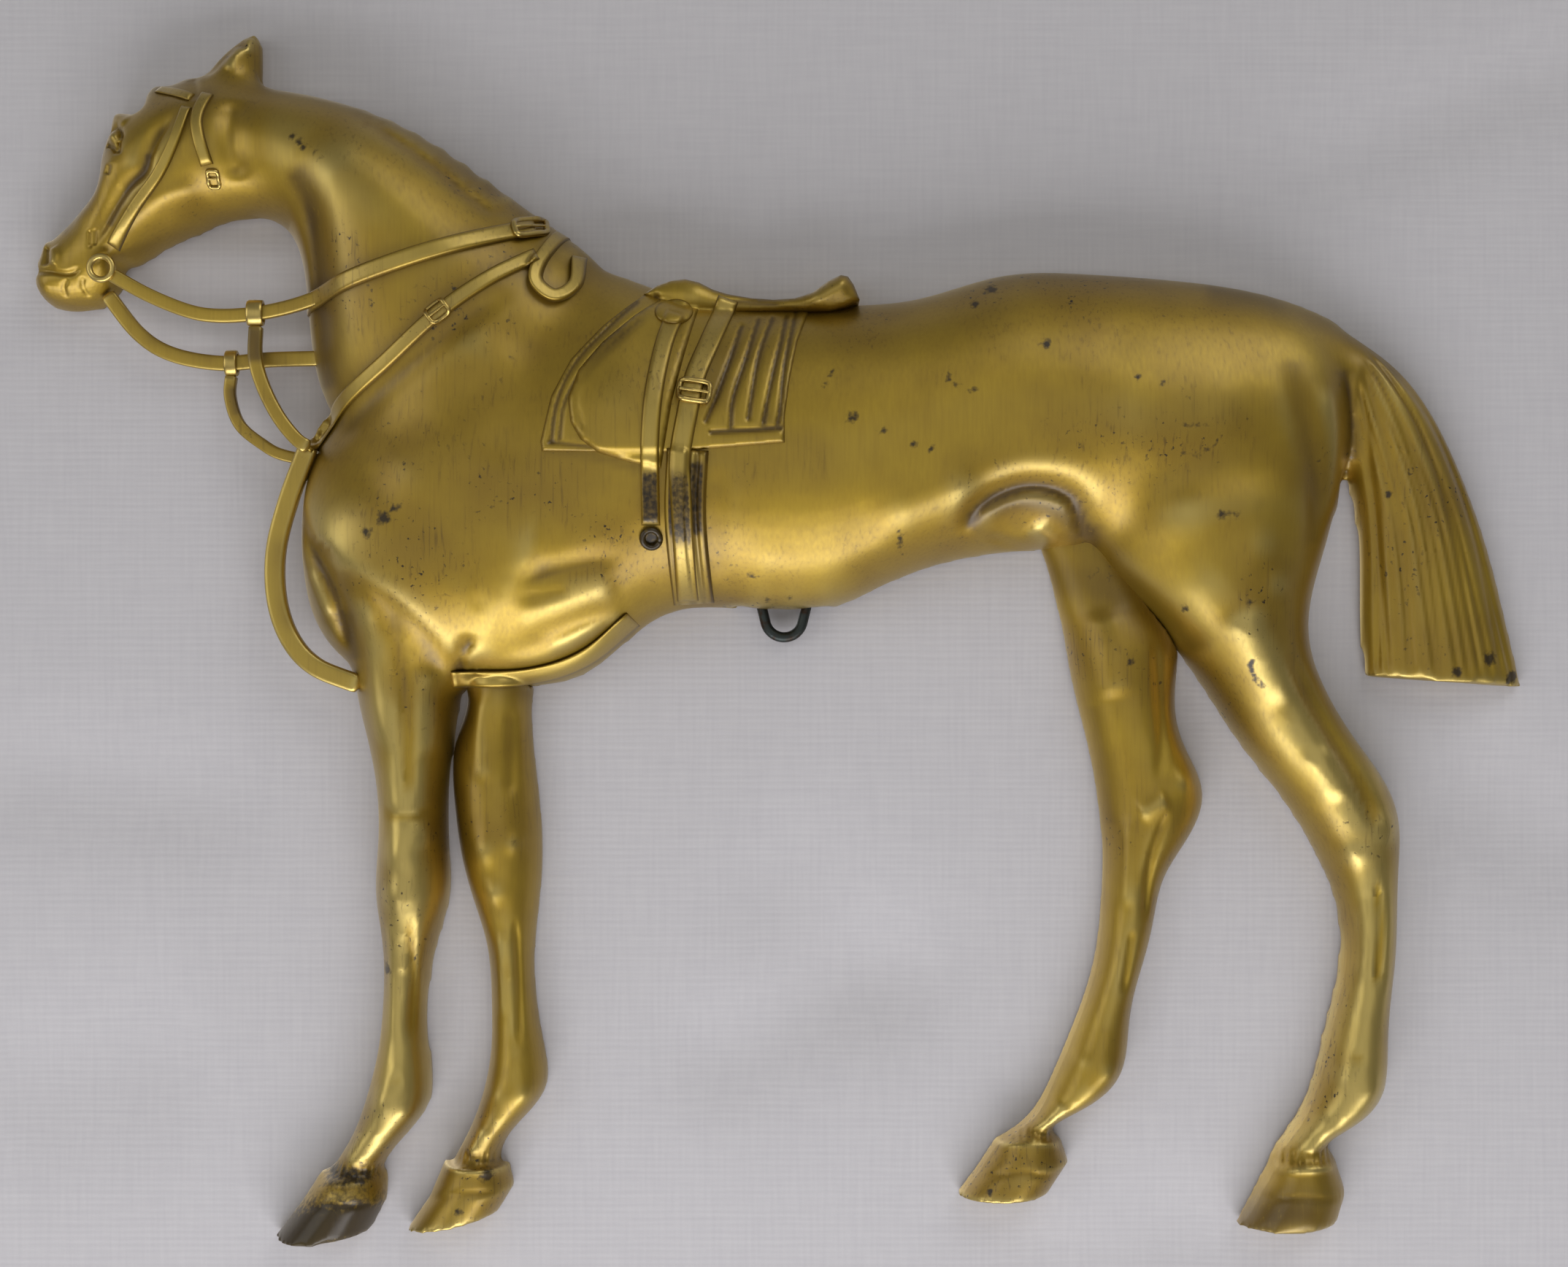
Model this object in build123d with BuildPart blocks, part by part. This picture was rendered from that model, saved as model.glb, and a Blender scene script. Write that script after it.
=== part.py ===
"""Half-relief brass racehorse with racing tack, hollow behind, with a swinging wire loop at the back.

Frame: +X towards the tail, +Z up, relief facing -Y, flat back on the plane Y = BACK. Millimetres.
Every relief form is a loft through half ellipses ("ribs") that stand on the back plane. A rib is given
by the two points where it meets the back plane, as (X, Z), and by its height above that plane.
"""

import os
from functools import lru_cache
from math import asin, atan, sin

from build123d import *

# Driving dimensions
RELIEF = 19.7  # greatest height of the relief above the back plane
BACK = RELIEF / 2  # Y of the back plane, so that the part is centred on Y = 0
REACH = RELIEF + 5  # how far a strap's outline is extruded before it is trimmed
WALL = 2.4  # metal left around the hollow back
CLOTH, STRAP, FLAP, BAND = 0.8, 1.1, 1.6, 2.4  # heights of the laid-on tack above the castings
NEAR_DEPTH, CHEST_DEPTH, OFF_DEPTH = 7.0, 4.7, 3.2  # how far the free-standing straps stand off the back plane
FREE_STRAP = 1.5  # thickness of a free-standing strap
SEAT_HEIGHT = 10.8  # saddle seat's height above the back plane

# Wire loop and its lug
WIRE_R = 0.75
PIVOT_X, PIVOT_Z = 0.5, 98.5
PIVOT_DEPTH = 1.6  # pivot's distance in front of the back plane
KNUCKLE_R, KNUCKLE_LENGTH = 1.55, 5.0
RUNNING_CLEARANCE = 0.06
EYE_R = 2.35  # centre-line radius at the foot of the loop
EYE_Z = 89.8  # centre of that round
SHOULDER_X = 4.9  # half width of the loop at its pivot, on the wire's centre line
CORNER_R = 1.3
NOTCH_DEPTH, NOTCH_WIDTH = 2.9, 13.0  # relief cut in the belly rim where the loop hangs out

BACK_PLANE = Plane(origin=(0, BACK, 0), x_dir=(1, 0, 0), z_dir=(0, -1, 0))

# Ribs: (belly side point, back side point, height), from the breast to the rump
BARREL = [
    ((-68.6, 96), (-68.6, 110), 5), ((-66.5, 88), (-66.5, 116.5), 10), ((-60, 82), (-60, 122), 14),
    ((-50, 80), (-50, 129.5), 16.5), ((-38, 80.2), (-38, 138.5), 17), ((-28, 82.3), (-28, 141), 17),
    ((-18, 90), (-18, 138), 17), ((-6, 91.6), (-6, 135.8), 17), ((8, 92.4), (8, 135.6), 17),
    ((20, 97), (20, 136.6), 16.5), ((32, 99.6), (32, 139.9), 16), ((44, 100), (44, 140.2), 16),
    ((56.6, 98.5), (56.6, 139.3), 15.5), ((68, 99), (68, 137.7), 14), ((76, 101), (76, 135.4), 11.5),
    ((80.8, 106), (80.8, 133), 7),
]
# From the shoulder up to the poll: (throat side point, crest side point, height)
NECK = [
    ((-66, 108), (-24, 137), 15), ((-65.5, 120.5), (-32.5, 146.6), 14.5), ((-68.2, 132), (-45.2, 155.6), 14),
    ((-70, 144), (-57, 162.6), 13), ((-74, 148), (-68, 166), 12), ((-77.4, 148.6), (-77, 167.4), 11.5),
]
# From behind the jaw down to the muzzle: (jaw side point, face side point, height)
HEAD = [
    NECK[-1], ((-80.4, 147.6), (-85.6, 168), 11.5), ((-83.5, 146.4), (-92, 164.8), 11.5),
    ((-88, 144.3), (-96.8, 160.4), 11), ((-93, 141), (-98.3, 155), 9.5), ((-96.5, 136.6), (-102, 148.4), 8),
    ((-100, 134.8), (-105.5, 144.9), 7.5), ((-104, 134.8), (-107.3, 142), 6.5), ((-106.4, 136), (-107.7, 140), 4),
]
EAR = [
    ((-84.5, 166), (-75.4, 166), 7), ((-82.2, 170.4), (-75.2, 170), 5.5), ((-78.6, 173.8), (-75.3, 172.8), 3.5),
    ((-76.8, 175), (-75.6, 174.6), 1.5),
]
# Legs: (front point, rear point, height), downwards, then the hoof
NEAR_FORELEG = [
    ((-62.4, 93), (-45, 93), 13.4), ((-62.2, 86), (-45.6, 86), 12.2), ((-61.4, 79), (-46.4, 79), 11),
    ((-59.6, 71.5), (-47.4, 71.5), 10.2), ((-58.4, 64), (-48.2, 64), 9.7), ((-58.4, 57), (-48, 57), 9.5),
    ((-58.7, 50.5), (-47.8, 50.5), 9.2), ((-57.8, 43.6), (-49.6, 43.6), 8), ((-57.6, 36), (-51, 36), 7),
    ((-58.2, 29), (-51, 29), 7), ((-59.6, 22.5), (-50.5, 21.5), 8), ((-61.8, 16), (-53.4, 16.3), 7.4),
    ((-64.2, 11.8), (-57.4, 11.2), 6.4), ((-65.6, 8.6), (-58.8, 8), 5.6),
]
NEAR_FORE_HOOF = [((-66.4, 10.4), (-56.8, 9.8), 7.8), ((-69.4, 5.8), (-57, 6.4), 8.2), ((-73.8, 0), (-59.4, 1.6), 8.4)]
OFF_FORELEG = [
    ((-47, 82), (-35.4, 82), 6.5), ((-47, 73), (-36, 73), 6.5), ((-47.4, 63.5), (-35, 63.5), 7),
    ((-46.4, 56), (-34.6, 56), 7), ((-44.5, 49), (-35.1, 48.6), 6.5), ((-42.7, 43), (-35.7, 42.4), 6),
    ((-42, 34.5), (-35.4, 34.5), 5.5), ((-42, 29), (-34.5, 29), 5.8), ((-42.7, 23.5), (-34, 22.6), 6.5),
    ((-44.4, 17.8), (-37.4, 17.6), 6), ((-46.6, 13.2), (-40.6, 12.6), 5.4), ((-48, 9.8), (-41.6, 9.2), 4.6),
]
OFF_FORE_HOOF = [((-48.8, 11.4), (-39.4, 11.2), 6.6), ((-51, 6.2), (-38.7, 8), 6.8), ((-54.3, 1.4), (-41, 4.2), 7)]
NEAR_HIND_LEG = [
    ((42.5, 108), (80.2, 114), 12.5), ((45, 99.5), (79.9, 104), 14.5), ((51, 92.6), (77.5, 95.6), 14),
    ((57.4, 85.6), (76.5, 88), 13), ((62, 79), (78, 82), 11.5), ((66.6, 72), (82, 74.6), 10.5),
    ((71, 66.4), (86.4, 68.4), 10), ((75.2, 60.4), (89.3, 62.4), 9.5), ((79, 53.4), (89.6, 54.4), 8.5),
    ((81, 46.6), (89.3, 46.8), 8), ((81, 40), (89, 39.8), 7.5), ((79.3, 32), (88.2, 31.4), 7.5),
    ((77.6, 25), (87.9, 24), 8), ((75.6, 19.5), (85.6, 18.8), 7.5), ((70.8, 11.2), (80.3, 12.4), 7.2),
]
NEAR_HIND_HOOF = [NEAR_HIND_LEG[-1], ((68.6, 7), (82, 7.2), 8), ((66, 2.4), (80.6, 2.5), 8.2)]
OFF_HIND_LEG = [
    ((36.8, 98.4), (52, 99), 6.5), ((39.8, 93), (55, 93), 7), ((41.2, 87.5), (57.6, 87.5), 7),
    ((42.6, 80), (57.4, 80), 7), ((44.6, 72), (58.6, 72), 7), ((46, 64.5), (61.2, 65.8), 7),
    ((46.8, 56.5), (57.7, 56), 6.5), ((46.5, 48), (54.5, 48), 6), ((45.3, 39.6), (52.5, 39.6), 6),
    ((43, 32.4), (50.8, 32.4), 6), ((40.3, 25.8), (50, 25.8), 6.5), ((37.8, 20.5), (46.2, 20.5), 6),
    ((31.2, 14.6), (40.7, 14.6), 6.2),
]
OFF_HIND_HOOF = [OFF_HIND_LEG[-1], ((28.6, 10.6), (41.8, 11.4), 6.8), ((25.4, 6.3), (38.8, 6.8), 7)]
# From the dock down: (inner edge, outer edge, height)
TAIL = [
    ((75.5, 128), (80, 133.8), 6.5), ((79.4, 123.4), (87.4, 128), 7), ((80.8, 118.4), (93.6, 121.2), 7),
    ((81.9, 112.6), (98, 113), 6.5),
    ((83.4, 105), (101.2, 105), 6), ((84, 95), (104.2, 95), 5.6), ((84.2, 88), (106, 87.6), 5.4),
    ((84.5, 81.8), (107.7, 80.2), 5.2),
]


def rib(low, high, height, grow=0.0):
    """Half ellipse standing on the back plane between two (X, Z) points, larger all round by grow."""
    run = Vector(high[0] - low[0], 0, high[1] - low[1])
    across = run.normalized()
    middle = (Vector(low[0], BACK, low[1]) + Vector(high[0], BACK, high[1])) / 2
    plane = Plane(origin=middle, x_dir=across, z_dir=across.cross(Vector(0, -1, 0)))
    with BuildSketch(plane) as face:
        with BuildLine():
            dome = EllipticalCenterArc((0, 0), run.length / 2 + grow, height + grow, arc_size=180)
            Line(dome @ 0, dome @ 1)
        make_face()
    return face.sketch


@lru_cache(maxsize=None)
def barrel_form(grow=0.0):
    """Solid form of the barrel, larger all round by grow."""
    with BuildPart() as form:
        loft(sections=[rib(*r, grow=grow) for r in BARREL])
    return form.part


@lru_cache(maxsize=None)
def neck_form(grow=0.0):
    """Solid form of the neck, larger all round by grow."""
    with BuildPart() as form:
        loft(sections=[rib(*r, grow=grow) for r in NECK])
    return form.part


@lru_cache(maxsize=None)
def head_form(grow=0.0):
    """Solid form of the head without the ear, larger all round by grow."""
    with BuildPart() as form:
        loft(sections=[rib(*r, grow=grow) for r in HEAD])
    return form.part


@lru_cache(maxsize=None)
def trunk_form(grow=0.0):
    """Barrel and neck together, larger all round by grow."""
    with BuildPart() as form:
        add(barrel_form(grow))
        add(neck_form(grow))
    return form.part


def inset(ribs, side, top):
    """The same ribs with each end drawn in by side and the height lowered by top."""
    drawn = []
    for low, high, height in ribs:
        step = (Vector(*high) - Vector(*low)).normalized() * side
        drawn.append(((low[0] + step.X, low[1] + step.Y), (high[0] - step.X, high[1] - step.Y), height - top))
    return drawn


def ribbon(points, width, depth=0.0):
    """Outline of a strap of even width along a smooth line, standing off the back plane by depth."""
    with BuildSketch(BACK_PLANE.offset(depth)) as face:
        with BuildLine():
            Spline(*points)
        trace(line_width=width)
    return face.sketch


def panel(*points):
    """Outline on the back plane of a flat panel with straight edges."""
    with BuildSketch(BACK_PLANE) as face:
        with BuildLine():
            Polyline(*points, close=True)
        make_face()
    return face.sketch


def write(part, name):
    """Labels a finished piece and writes its STEP file."""
    part.label = name
    export_step(part, f"parts/{name}.step")


os.makedirs("parts", exist_ok=True)

# Castings -----------------------------------------------------------------------------------------------------

with BuildPart() as barrel:
    add(barrel_form())
    loft(sections=[rib(*r) for r in inset(BARREL[3:14], WALL, WALL)], mode=Mode.SUBTRACT)
    with BuildSketch(BACK_PLANE):
        with Locations((PIVOT_X, BARREL[7][0][1])):
            Rectangle(NOTCH_WIDTH, 3 * WALL)
    extrude(amount=NOTCH_DEPTH, mode=Mode.SUBTRACT)
write(barrel.part, "barrel")

with BuildPart() as neck:
    add(neck_form())
    add(barrel_form(), mode=Mode.SUBTRACT)
    loft(sections=[rib(*r) for r in inset(NECK[2:5], 6, WALL + 1)], mode=Mode.SUBTRACT)
write(neck.part, "neck")

with BuildPart() as head:
    loft(sections=[rib(*r) for r in EAR])
    add(neck_form(), mode=Mode.SUBTRACT)
    add(head_form())
write(head.part, "head")

with BuildPart() as near_foreleg:
    loft(sections=[rib(*r) for r in NEAR_FORELEG])
    loft(sections=[rib(*r) for r in NEAR_FORE_HOOF], ruled=True)
    add(barrel_form(), mode=Mode.SUBTRACT)
write(near_foreleg.part, "near_foreleg")

with BuildPart() as off_foreleg:
    loft(sections=[rib(*r) for r in OFF_FORELEG])
    loft(sections=[rib(*r) for r in OFF_FORE_HOOF], ruled=True)
    add(barrel_form(), mode=Mode.SUBTRACT)
    add(near_foreleg.part, mode=Mode.SUBTRACT)
write(off_foreleg.part, "off_foreleg")

with BuildPart() as near_hind_leg:
    loft(sections=[rib(*r) for r in NEAR_HIND_LEG])
    loft(sections=[rib(*r) for r in NEAR_HIND_HOOF], ruled=True)
    add(barrel_form(), mode=Mode.SUBTRACT)
write(near_hind_leg.part, "near_hind_leg")

with BuildPart() as off_hind_leg:
    loft(sections=[rib(*r) for r in OFF_HIND_LEG])
    loft(sections=[rib(*r) for r in OFF_HIND_HOOF], ruled=True)
    add(barrel_form(), mode=Mode.SUBTRACT)
    add(near_hind_leg.part, mode=Mode.SUBTRACT)
write(off_hind_leg.part, "off_hind_leg")

with BuildPart() as tail:
    loft(sections=[rib(*r) for r in TAIL])
    add(barrel_form(), mode=Mode.SUBTRACT)
    add(near_hind_leg.part, mode=Mode.SUBTRACT)
write(tail.part, "tail")

# Tack laid on the castings ------------------------------------------------------------------------------------

with BuildPart() as saddle_seat:
    with BuildSketch(BACK_PLANE):
        with BuildLine():
            top = Spline((-19.5, 136.4), (-13.6, 138.6), (-7.6, 136.5), (-2, 135.7), (3.6, 136), (8.6, 139))
            Polyline(top @ 1, (10.2, 138.4), (11.3, 135.4), (7, 133.6), (0, 133.4), (-14, 132.8), top @ 0)
        make_face()
    extrude(amount=SEAT_HEIGHT)
    add(barrel_form(), mode=Mode.SUBTRACT)
write(saddle_seat.part, "saddle_seat")

cloth_outline = panel(
    (-18.6, 137), (-24.8, 130), (-29.7, 124.5), (-32.2, 119), (-33.2, 113.2), (0.6, 114.4), (1.3, 122.2),
    (4.2, 134.4), (-14, 134.4),
)
flap_outline = panel(
    (-16, 136), (-21, 132.4), (-26.2, 126.6), (-29.2, 121), (-28.8, 116.6), (-26.2, 113.9), (-16.5, 110.8),
    (-15, 120), (-11.5, 134.5),
)
leather_line = [(-14.7, 133.2), (-16.2, 128.2), (-17.5, 120.7), (-18, 113.2), (-18, 103)]
surcingle_line = [(-7.2, 135.2), (-9.8, 129), (-11.8, 123.7), (-12.8, 118.8), (-13.9, 112), (-13.7, 105.7), (-13, 91)]
girth_line = [(-12.8, 112.6), (-13.4, 104), (-12.2, 90)]
neck_strap_line = [(-67.8, 114.4), (-63.6, 119.8), (-55.4, 126), (-48, 132.4), (-41, 137.6), (-34.4, 141.6)]
bight_line = [(-31.4, 145.6), (-34, 140.4), (-34.2, 137.4), (-31.6, 135.6), (-29, 137.6), (-29, 142)]
belly_strap_line = [(-46.8, 81.4), (-36, 81.8), (-28, 84.4), (-21, 90)]
cheek_line = [(-95.4, 143.4), (-91.6, 149), (-87.4, 154.8), (-84.2, 161)]
throatlash_line = [(-81.2, 164.6), (-82.1, 161), (-81.9, 158.4), (-80.8, 154)]

# name, outline, form it lies on, height above that form, pieces that it lies over
LAID_ON = [
    ("saddle_cloth", cloth_outline, trunk_form, CLOTH, []),
    ("saddle_flap", flap_outline, barrel_form, FLAP, ["saddle_cloth"]),
    ("girth", ribbon(girth_line, 5.8), barrel_form, STRAP, ["saddle_cloth", "saddle_flap"]),
    ("surcingle", ribbon(surcingle_line, 3), barrel_form, BAND, ["saddle_cloth", "saddle_flap", "girth"]),
    ("stirrup_leather", ribbon(leather_line, 2.6), barrel_form, BAND, ["saddle_cloth", "saddle_flap"]),
    ("near_rein_bight", ribbon(bight_line, 2), trunk_form, BAND, []),
    ("neck_strap", ribbon(neck_strap_line, 2.2), trunk_form, STRAP, ["near_rein_bight"]),
    ("belly_strap", ribbon(belly_strap_line, 2.4), barrel_form, STRAP, ["near_foreleg", "off_foreleg"]),
    ("cheekpiece", ribbon(cheek_line, 1.6), head_form, CLOTH, []),
    ("throatlash", ribbon(throatlash_line, 1.8), head_form, CLOTH, ["cheekpiece"]),
]
made = {"saddle_seat": saddle_seat.part, "near_foreleg": near_foreleg.part, "off_foreleg": off_foreleg.part}
for name, outline, form, height, lower in LAID_ON:
    with BuildPart() as piece:
        extrude(outline, amount=REACH)
        add(form(height), mode=Mode.INTERSECT)
        add(form(), mode=Mode.SUBTRACT)
        for below in ["saddle_seat"] + lower:
            add(made[below], mode=Mode.SUBTRACT)
    made[name] = piece.part
    write(piece.part, name)

with BuildPart() as surcingle_buckle:
    with BuildSketch(Plane(origin=BACK_PLANE.from_local_coords((-11.9, 122)), x_dir=(1, 0, -0.3), z_dir=(0, -1, 0))):
        RectangleRounded(5, 4, 0.6)
        Rectangle(2.8, 1.8, mode=Mode.SUBTRACT)
    extrude(amount=REACH)
    add(barrel_form(BAND + CLOTH), mode=Mode.INTERSECT)
    add(barrel_form(), mode=Mode.SUBTRACT)
    for below in ("saddle_cloth", "saddle_flap", "surcingle"):
        add(made[below], mode=Mode.SUBTRACT)
write(surcingle_buckle.part, "surcingle_buckle")

with BuildPart() as stirrup_skirt:
    with BuildSketch(BACK_PLANE):
        with Locations((-15, 133.2)):
            Ellipse(2.7, 2.1)
    extrude(amount=REACH)
    add(barrel_form(BAND + CLOTH), mode=Mode.INTERSECT)
    add(barrel_form(), mode=Mode.SUBTRACT)
    for below in ("saddle_seat", "saddle_cloth", "saddle_flap", "stirrup_leather"):
        add(made[below], mode=Mode.SUBTRACT)
write(stirrup_skirt.part, "stirrup_skirt")

with BuildPart() as stirrup_boss:
    with BuildSketch(BACK_PLANE):
        with Locations((-18, 101.2)):
            Circle(1.6)
            Circle(0.8, mode=Mode.SUBTRACT)
    extrude(amount=REACH)
    add(barrel_form(FLAP), mode=Mode.INTERSECT)
    add(barrel_form(), mode=Mode.SUBTRACT)
write(stirrup_boss.part, "stirrup_boss")

with BuildPart() as neck_strap_buckle:
    with BuildSketch(Plane(origin=BACK_PLANE.from_local_coords((-47.7, 132.8)), x_dir=(1, 0, 0.75), z_dir=(0, -1, 0))):
        RectangleRounded(3.6, 3, 0.5)
        Rectangle(1.6, 1.2, mode=Mode.SUBTRACT)
    extrude(amount=REACH)
    add(trunk_form(STRAP + CLOTH), mode=Mode.INTERSECT)
    add(trunk_form(), mode=Mode.SUBTRACT)
    add(made["neck_strap"], mode=Mode.SUBTRACT)
write(neck_strap_buckle.part, "neck_strap_buckle")

with BuildPart() as throatlash_buckle:
    with BuildSketch(BACK_PLANE):
        with Locations((-80.2, 152.2)):
            RectangleRounded(2, 2.6, 0.5)
            Rectangle(0.9, 1.2, mode=Mode.SUBTRACT)
    extrude(amount=REACH)
    add(head_form(STRAP + CLOTH), mode=Mode.INTERSECT)
    add(head_form(), mode=Mode.SUBTRACT)
    add(made["throatlash"], mode=Mode.SUBTRACT)
write(throatlash_buckle.part, "throatlash_buckle")

with BuildPart() as browband:
    extrude(ribbon([(-89.4, 166.2), (-86.4, 165.2), (-83.4, 164)], 1.6), amount=REACH)
    add(head_form(CLOTH), mode=Mode.INTERSECT)
    add(head.part, mode=Mode.SUBTRACT)
    for below in ("cheekpiece", "throatlash"):
        add(made[below], mode=Mode.SUBTRACT)
write(browband.part, "browband")

# Free-standing tack in front of the throat and breast ---------------------------------------------------------

with BuildPart() as bit_ring:
    with BuildSketch(BACK_PLANE.offset(8.2)):
        with Locations((-96.4, 139.9)):
            Circle(2.1)
            Circle(1.2, mode=Mode.SUBTRACT)
    extrude(amount=0.9)
    add(head.part, mode=Mode.SUBTRACT)
write(bit_ring.part, "bit_ring")

with BuildPart() as near_rein:
    extrude(ribbon([(-67.6, 135), (-61.5, 137.2), (-53.4, 139.9), (-41, 144), (-35, 146)], 2.6), amount=REACH)
    add(neck_form(STRAP), mode=Mode.INTERSECT)
    free_line = [(-95.6, 139.3), (-90, 136.2), (-84.3, 133.9), (-80, 133.2), (-74.7, 133.5), (-65, 136)]
    extrude(ribbon(free_line, 2, NEAR_DEPTH), amount=FREE_STRAP)
    for below in (trunk_form(), head.part, bit_ring.part, made["near_rein_bight"]):
        add(below, mode=Mode.SUBTRACT)
write(near_rein.part, "near_rein")

with BuildPart() as off_rein:
    free_line = [(-97, 137), (-92.4, 131.2), (-87.6, 128.2), (-80.6, 126.9), (-73.5, 127.4), (-66, 127.6)]
    extrude(ribbon(free_line, 2.2, OFF_DEPTH), amount=FREE_STRAP)
    for below in (trunk_form(), head.part):
        add(below, mode=Mode.SUBTRACT)
write(off_rein.part, "off_rein")

# The martingale's rings are folded loops of strap round the reins
with BuildPart() as near_rein_ring:
    with Locations((-74.7, BACK - NEAR_DEPTH - FREE_STRAP / 2, 133.6)):
        Box(2.3, 3.1, 3.5)
    fillet(near_rein_ring.edges().filter_by(Axis.X), 0.7)
    add(near_rein.part, mode=Mode.SUBTRACT)
write(near_rein_ring.part, "near_rein_ring")

with BuildPart() as off_rein_ring:
    with Locations((-79, BACK - OFF_DEPTH - FREE_STRAP / 2, 126.9)):
        Box(1.8, 2.9, 3.5)
    fillet(off_rein_ring.edges().filter_by(Axis.X), 0.7)
    add(off_rein.part, mode=Mode.SUBTRACT)
write(off_rein_ring.part, "off_rein_ring")

with BuildPart() as chest_strap:
    free_line = [(-68.4, 114), (-70.6, 106.6), (-72.2, 99.6), (-72, 92.6), (-70, 87), (-66.4, 83.2), (-60, 80.6)]
    extrude(ribbon(free_line, 2.8, CHEST_DEPTH), amount=NEAR_DEPTH - CHEST_DEPTH)
    for below in (trunk_form(), near_foreleg.part, made["neck_strap"]):
        add(below, mode=Mode.SUBTRACT)
write(chest_strap.part, "chest_strap")

with BuildPart() as near_fork:
    free_line = [(-74.6, 132), (-74.7, 127.2), (-73.6, 123.2), (-71.5, 119), (-69, 115.8), (-67, 114.4)]
    extrude(ribbon(free_line, 2, NEAR_DEPTH), amount=FREE_STRAP)
    for below in (trunk_form(), near_rein_ring.part, near_rein.part, made["neck_strap"]):
        add(below, mode=Mode.SUBTRACT)
write(near_fork.part, "near_fork")

with BuildPart() as off_fork:
    free_line = [(-79, 125.4), (-79.2, 122), (-77.8, 118), (-74.5, 115.2), (-71.6, 113.7), (-66, 112.6)]
    extrude(ribbon(free_line, 1.7, OFF_DEPTH), amount=FREE_STRAP)
    for below in (trunk_form(), off_rein_ring.part, off_rein.part, chest_strap.part, made["neck_strap"]):
        add(below, mode=Mode.SUBTRACT)
write(off_fork.part, "off_fork")

with BuildPart() as rein_buckle:
    with BuildSketch(Plane(origin=BACK_PLANE.from_local_coords((-35.6, 146)), x_dir=(1, 0, 0.3), z_dir=(0, -1, 0))):
        RectangleRounded(5, 3.6, 1)
    extrude(amount=REACH)
    add(trunk_form(BAND + CLOTH), mode=Mode.INTERSECT)
    add(trunk_form(), mode=Mode.SUBTRACT)
    for below in (near_rein.part, made["near_rein_bight"]):
        add(below, mode=Mode.SUBTRACT)
write(rein_buckle.part, "rein_buckle")

# Lug soldered inside the belly, and the wire loop that swings in it -------------------------------------------

PIVOT = Vector(PIVOT_X, BACK - PIVOT_DEPTH, PIVOT_Z)
LUG_WIDTH = 4.0

with BuildPart() as loop_lug:
    with BuildSketch(Plane(origin=PIVOT - (KNUCKLE_LENGTH / 2, 0, 0), x_dir=(0, 1, 0), z_dir=(1, 0, 0))):
        Circle(KNUCKLE_R)
    extrude(amount=KNUCKLE_LENGTH)
    # Side view of the web, as (height above the back plane, Z)
    with BuildSketch(Plane(origin=(PIVOT_X + LUG_WIDTH / 2, BACK, 0), x_dir=(0, -1, 0), z_dir=(-1, 0, 0))):
        with BuildLine():
            Polyline((1.6, 99.9), (8.8, 97.6), (5.8, 94.2), (2.8, 97.5), close=True)
        make_face()
    extrude(amount=LUG_WIDTH)
    with BuildSketch(Plane(origin=PIVOT - (KNUCKLE_LENGTH / 2, 0, 0), x_dir=(0, 1, 0), z_dir=(1, 0, 0))):
        Circle(WIRE_R + RUNNING_CLEARANCE)
    extrude(amount=KNUCKLE_LENGTH, mode=Mode.SUBTRACT)
    add(barrel.part, mode=Mode.SUBTRACT)
write(loop_lug.part, "loop_lug")

leg_height = PIVOT_Z - EYE_Z
reach = (SHOULDER_X**2 + leg_height**2) ** 0.5
leg_slope = atan(SHOULDER_X / leg_height) - asin(EYE_R / reach)
WIRE_GAP = 0.2  # the wire's two ends butt inside the knuckle

with BuildPart() as hanging_loop:
    with BuildLine(BACK_PLANE.offset(PIVOT_DEPTH)) as wire:
        FilletPolyline(
            (PIVOT_X - WIRE_GAP / 2, PIVOT_Z), (PIVOT_X - SHOULDER_X, PIVOT_Z),
            (PIVOT_X, EYE_Z - EYE_R / sin(leg_slope)), (PIVOT_X + SHOULDER_X, PIVOT_Z),
            (PIVOT_X + WIRE_GAP / 2, PIVOT_Z), radius=[CORNER_R, EYE_R, CORNER_R],
        )
    with BuildSketch(Plane(origin=wire.line @ 0, z_dir=wire.line % 0)):
        Circle(WIRE_R)
    sweep(path=wire.line)
write(hanging_loop.part, "hanging_loop")
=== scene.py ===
"""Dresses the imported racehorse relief: gilt brass casting, chased racing tack and a steel hanging loop.

The relief faces -Y, the tail is towards +X and the top is +Z. Sizes are in millimetres, and MM turns them
into Blender's metres. Lines and outlines are (X, Z) pairs, as seen from the front.
"""

import logging
import math
from dataclasses import dataclass
from enum import Enum
from typing import Iterable, Optional, Sequence

import bmesh
import bpy
import numpy as np
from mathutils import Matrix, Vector, geometry
from mathutils.bvhtree import BVHTree


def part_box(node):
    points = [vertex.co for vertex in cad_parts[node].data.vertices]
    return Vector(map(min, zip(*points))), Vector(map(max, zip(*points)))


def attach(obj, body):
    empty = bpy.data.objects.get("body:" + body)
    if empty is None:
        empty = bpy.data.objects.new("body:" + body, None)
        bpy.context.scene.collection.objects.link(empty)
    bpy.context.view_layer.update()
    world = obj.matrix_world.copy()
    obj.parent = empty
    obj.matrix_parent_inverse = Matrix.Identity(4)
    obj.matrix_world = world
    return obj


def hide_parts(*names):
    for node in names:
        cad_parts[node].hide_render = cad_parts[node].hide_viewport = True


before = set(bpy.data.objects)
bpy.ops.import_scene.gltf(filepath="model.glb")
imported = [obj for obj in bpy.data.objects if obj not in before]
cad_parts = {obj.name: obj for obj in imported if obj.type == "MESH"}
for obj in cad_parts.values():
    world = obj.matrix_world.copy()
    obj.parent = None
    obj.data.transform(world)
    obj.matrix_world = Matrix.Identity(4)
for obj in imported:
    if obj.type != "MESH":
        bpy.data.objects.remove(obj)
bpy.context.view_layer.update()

MM = 0.001
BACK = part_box("barrel")[1].y / MM  # the flat back of the relief
BACK_GAP = 0.05  # hidden sides of the tack stop this far short of the back
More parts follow.
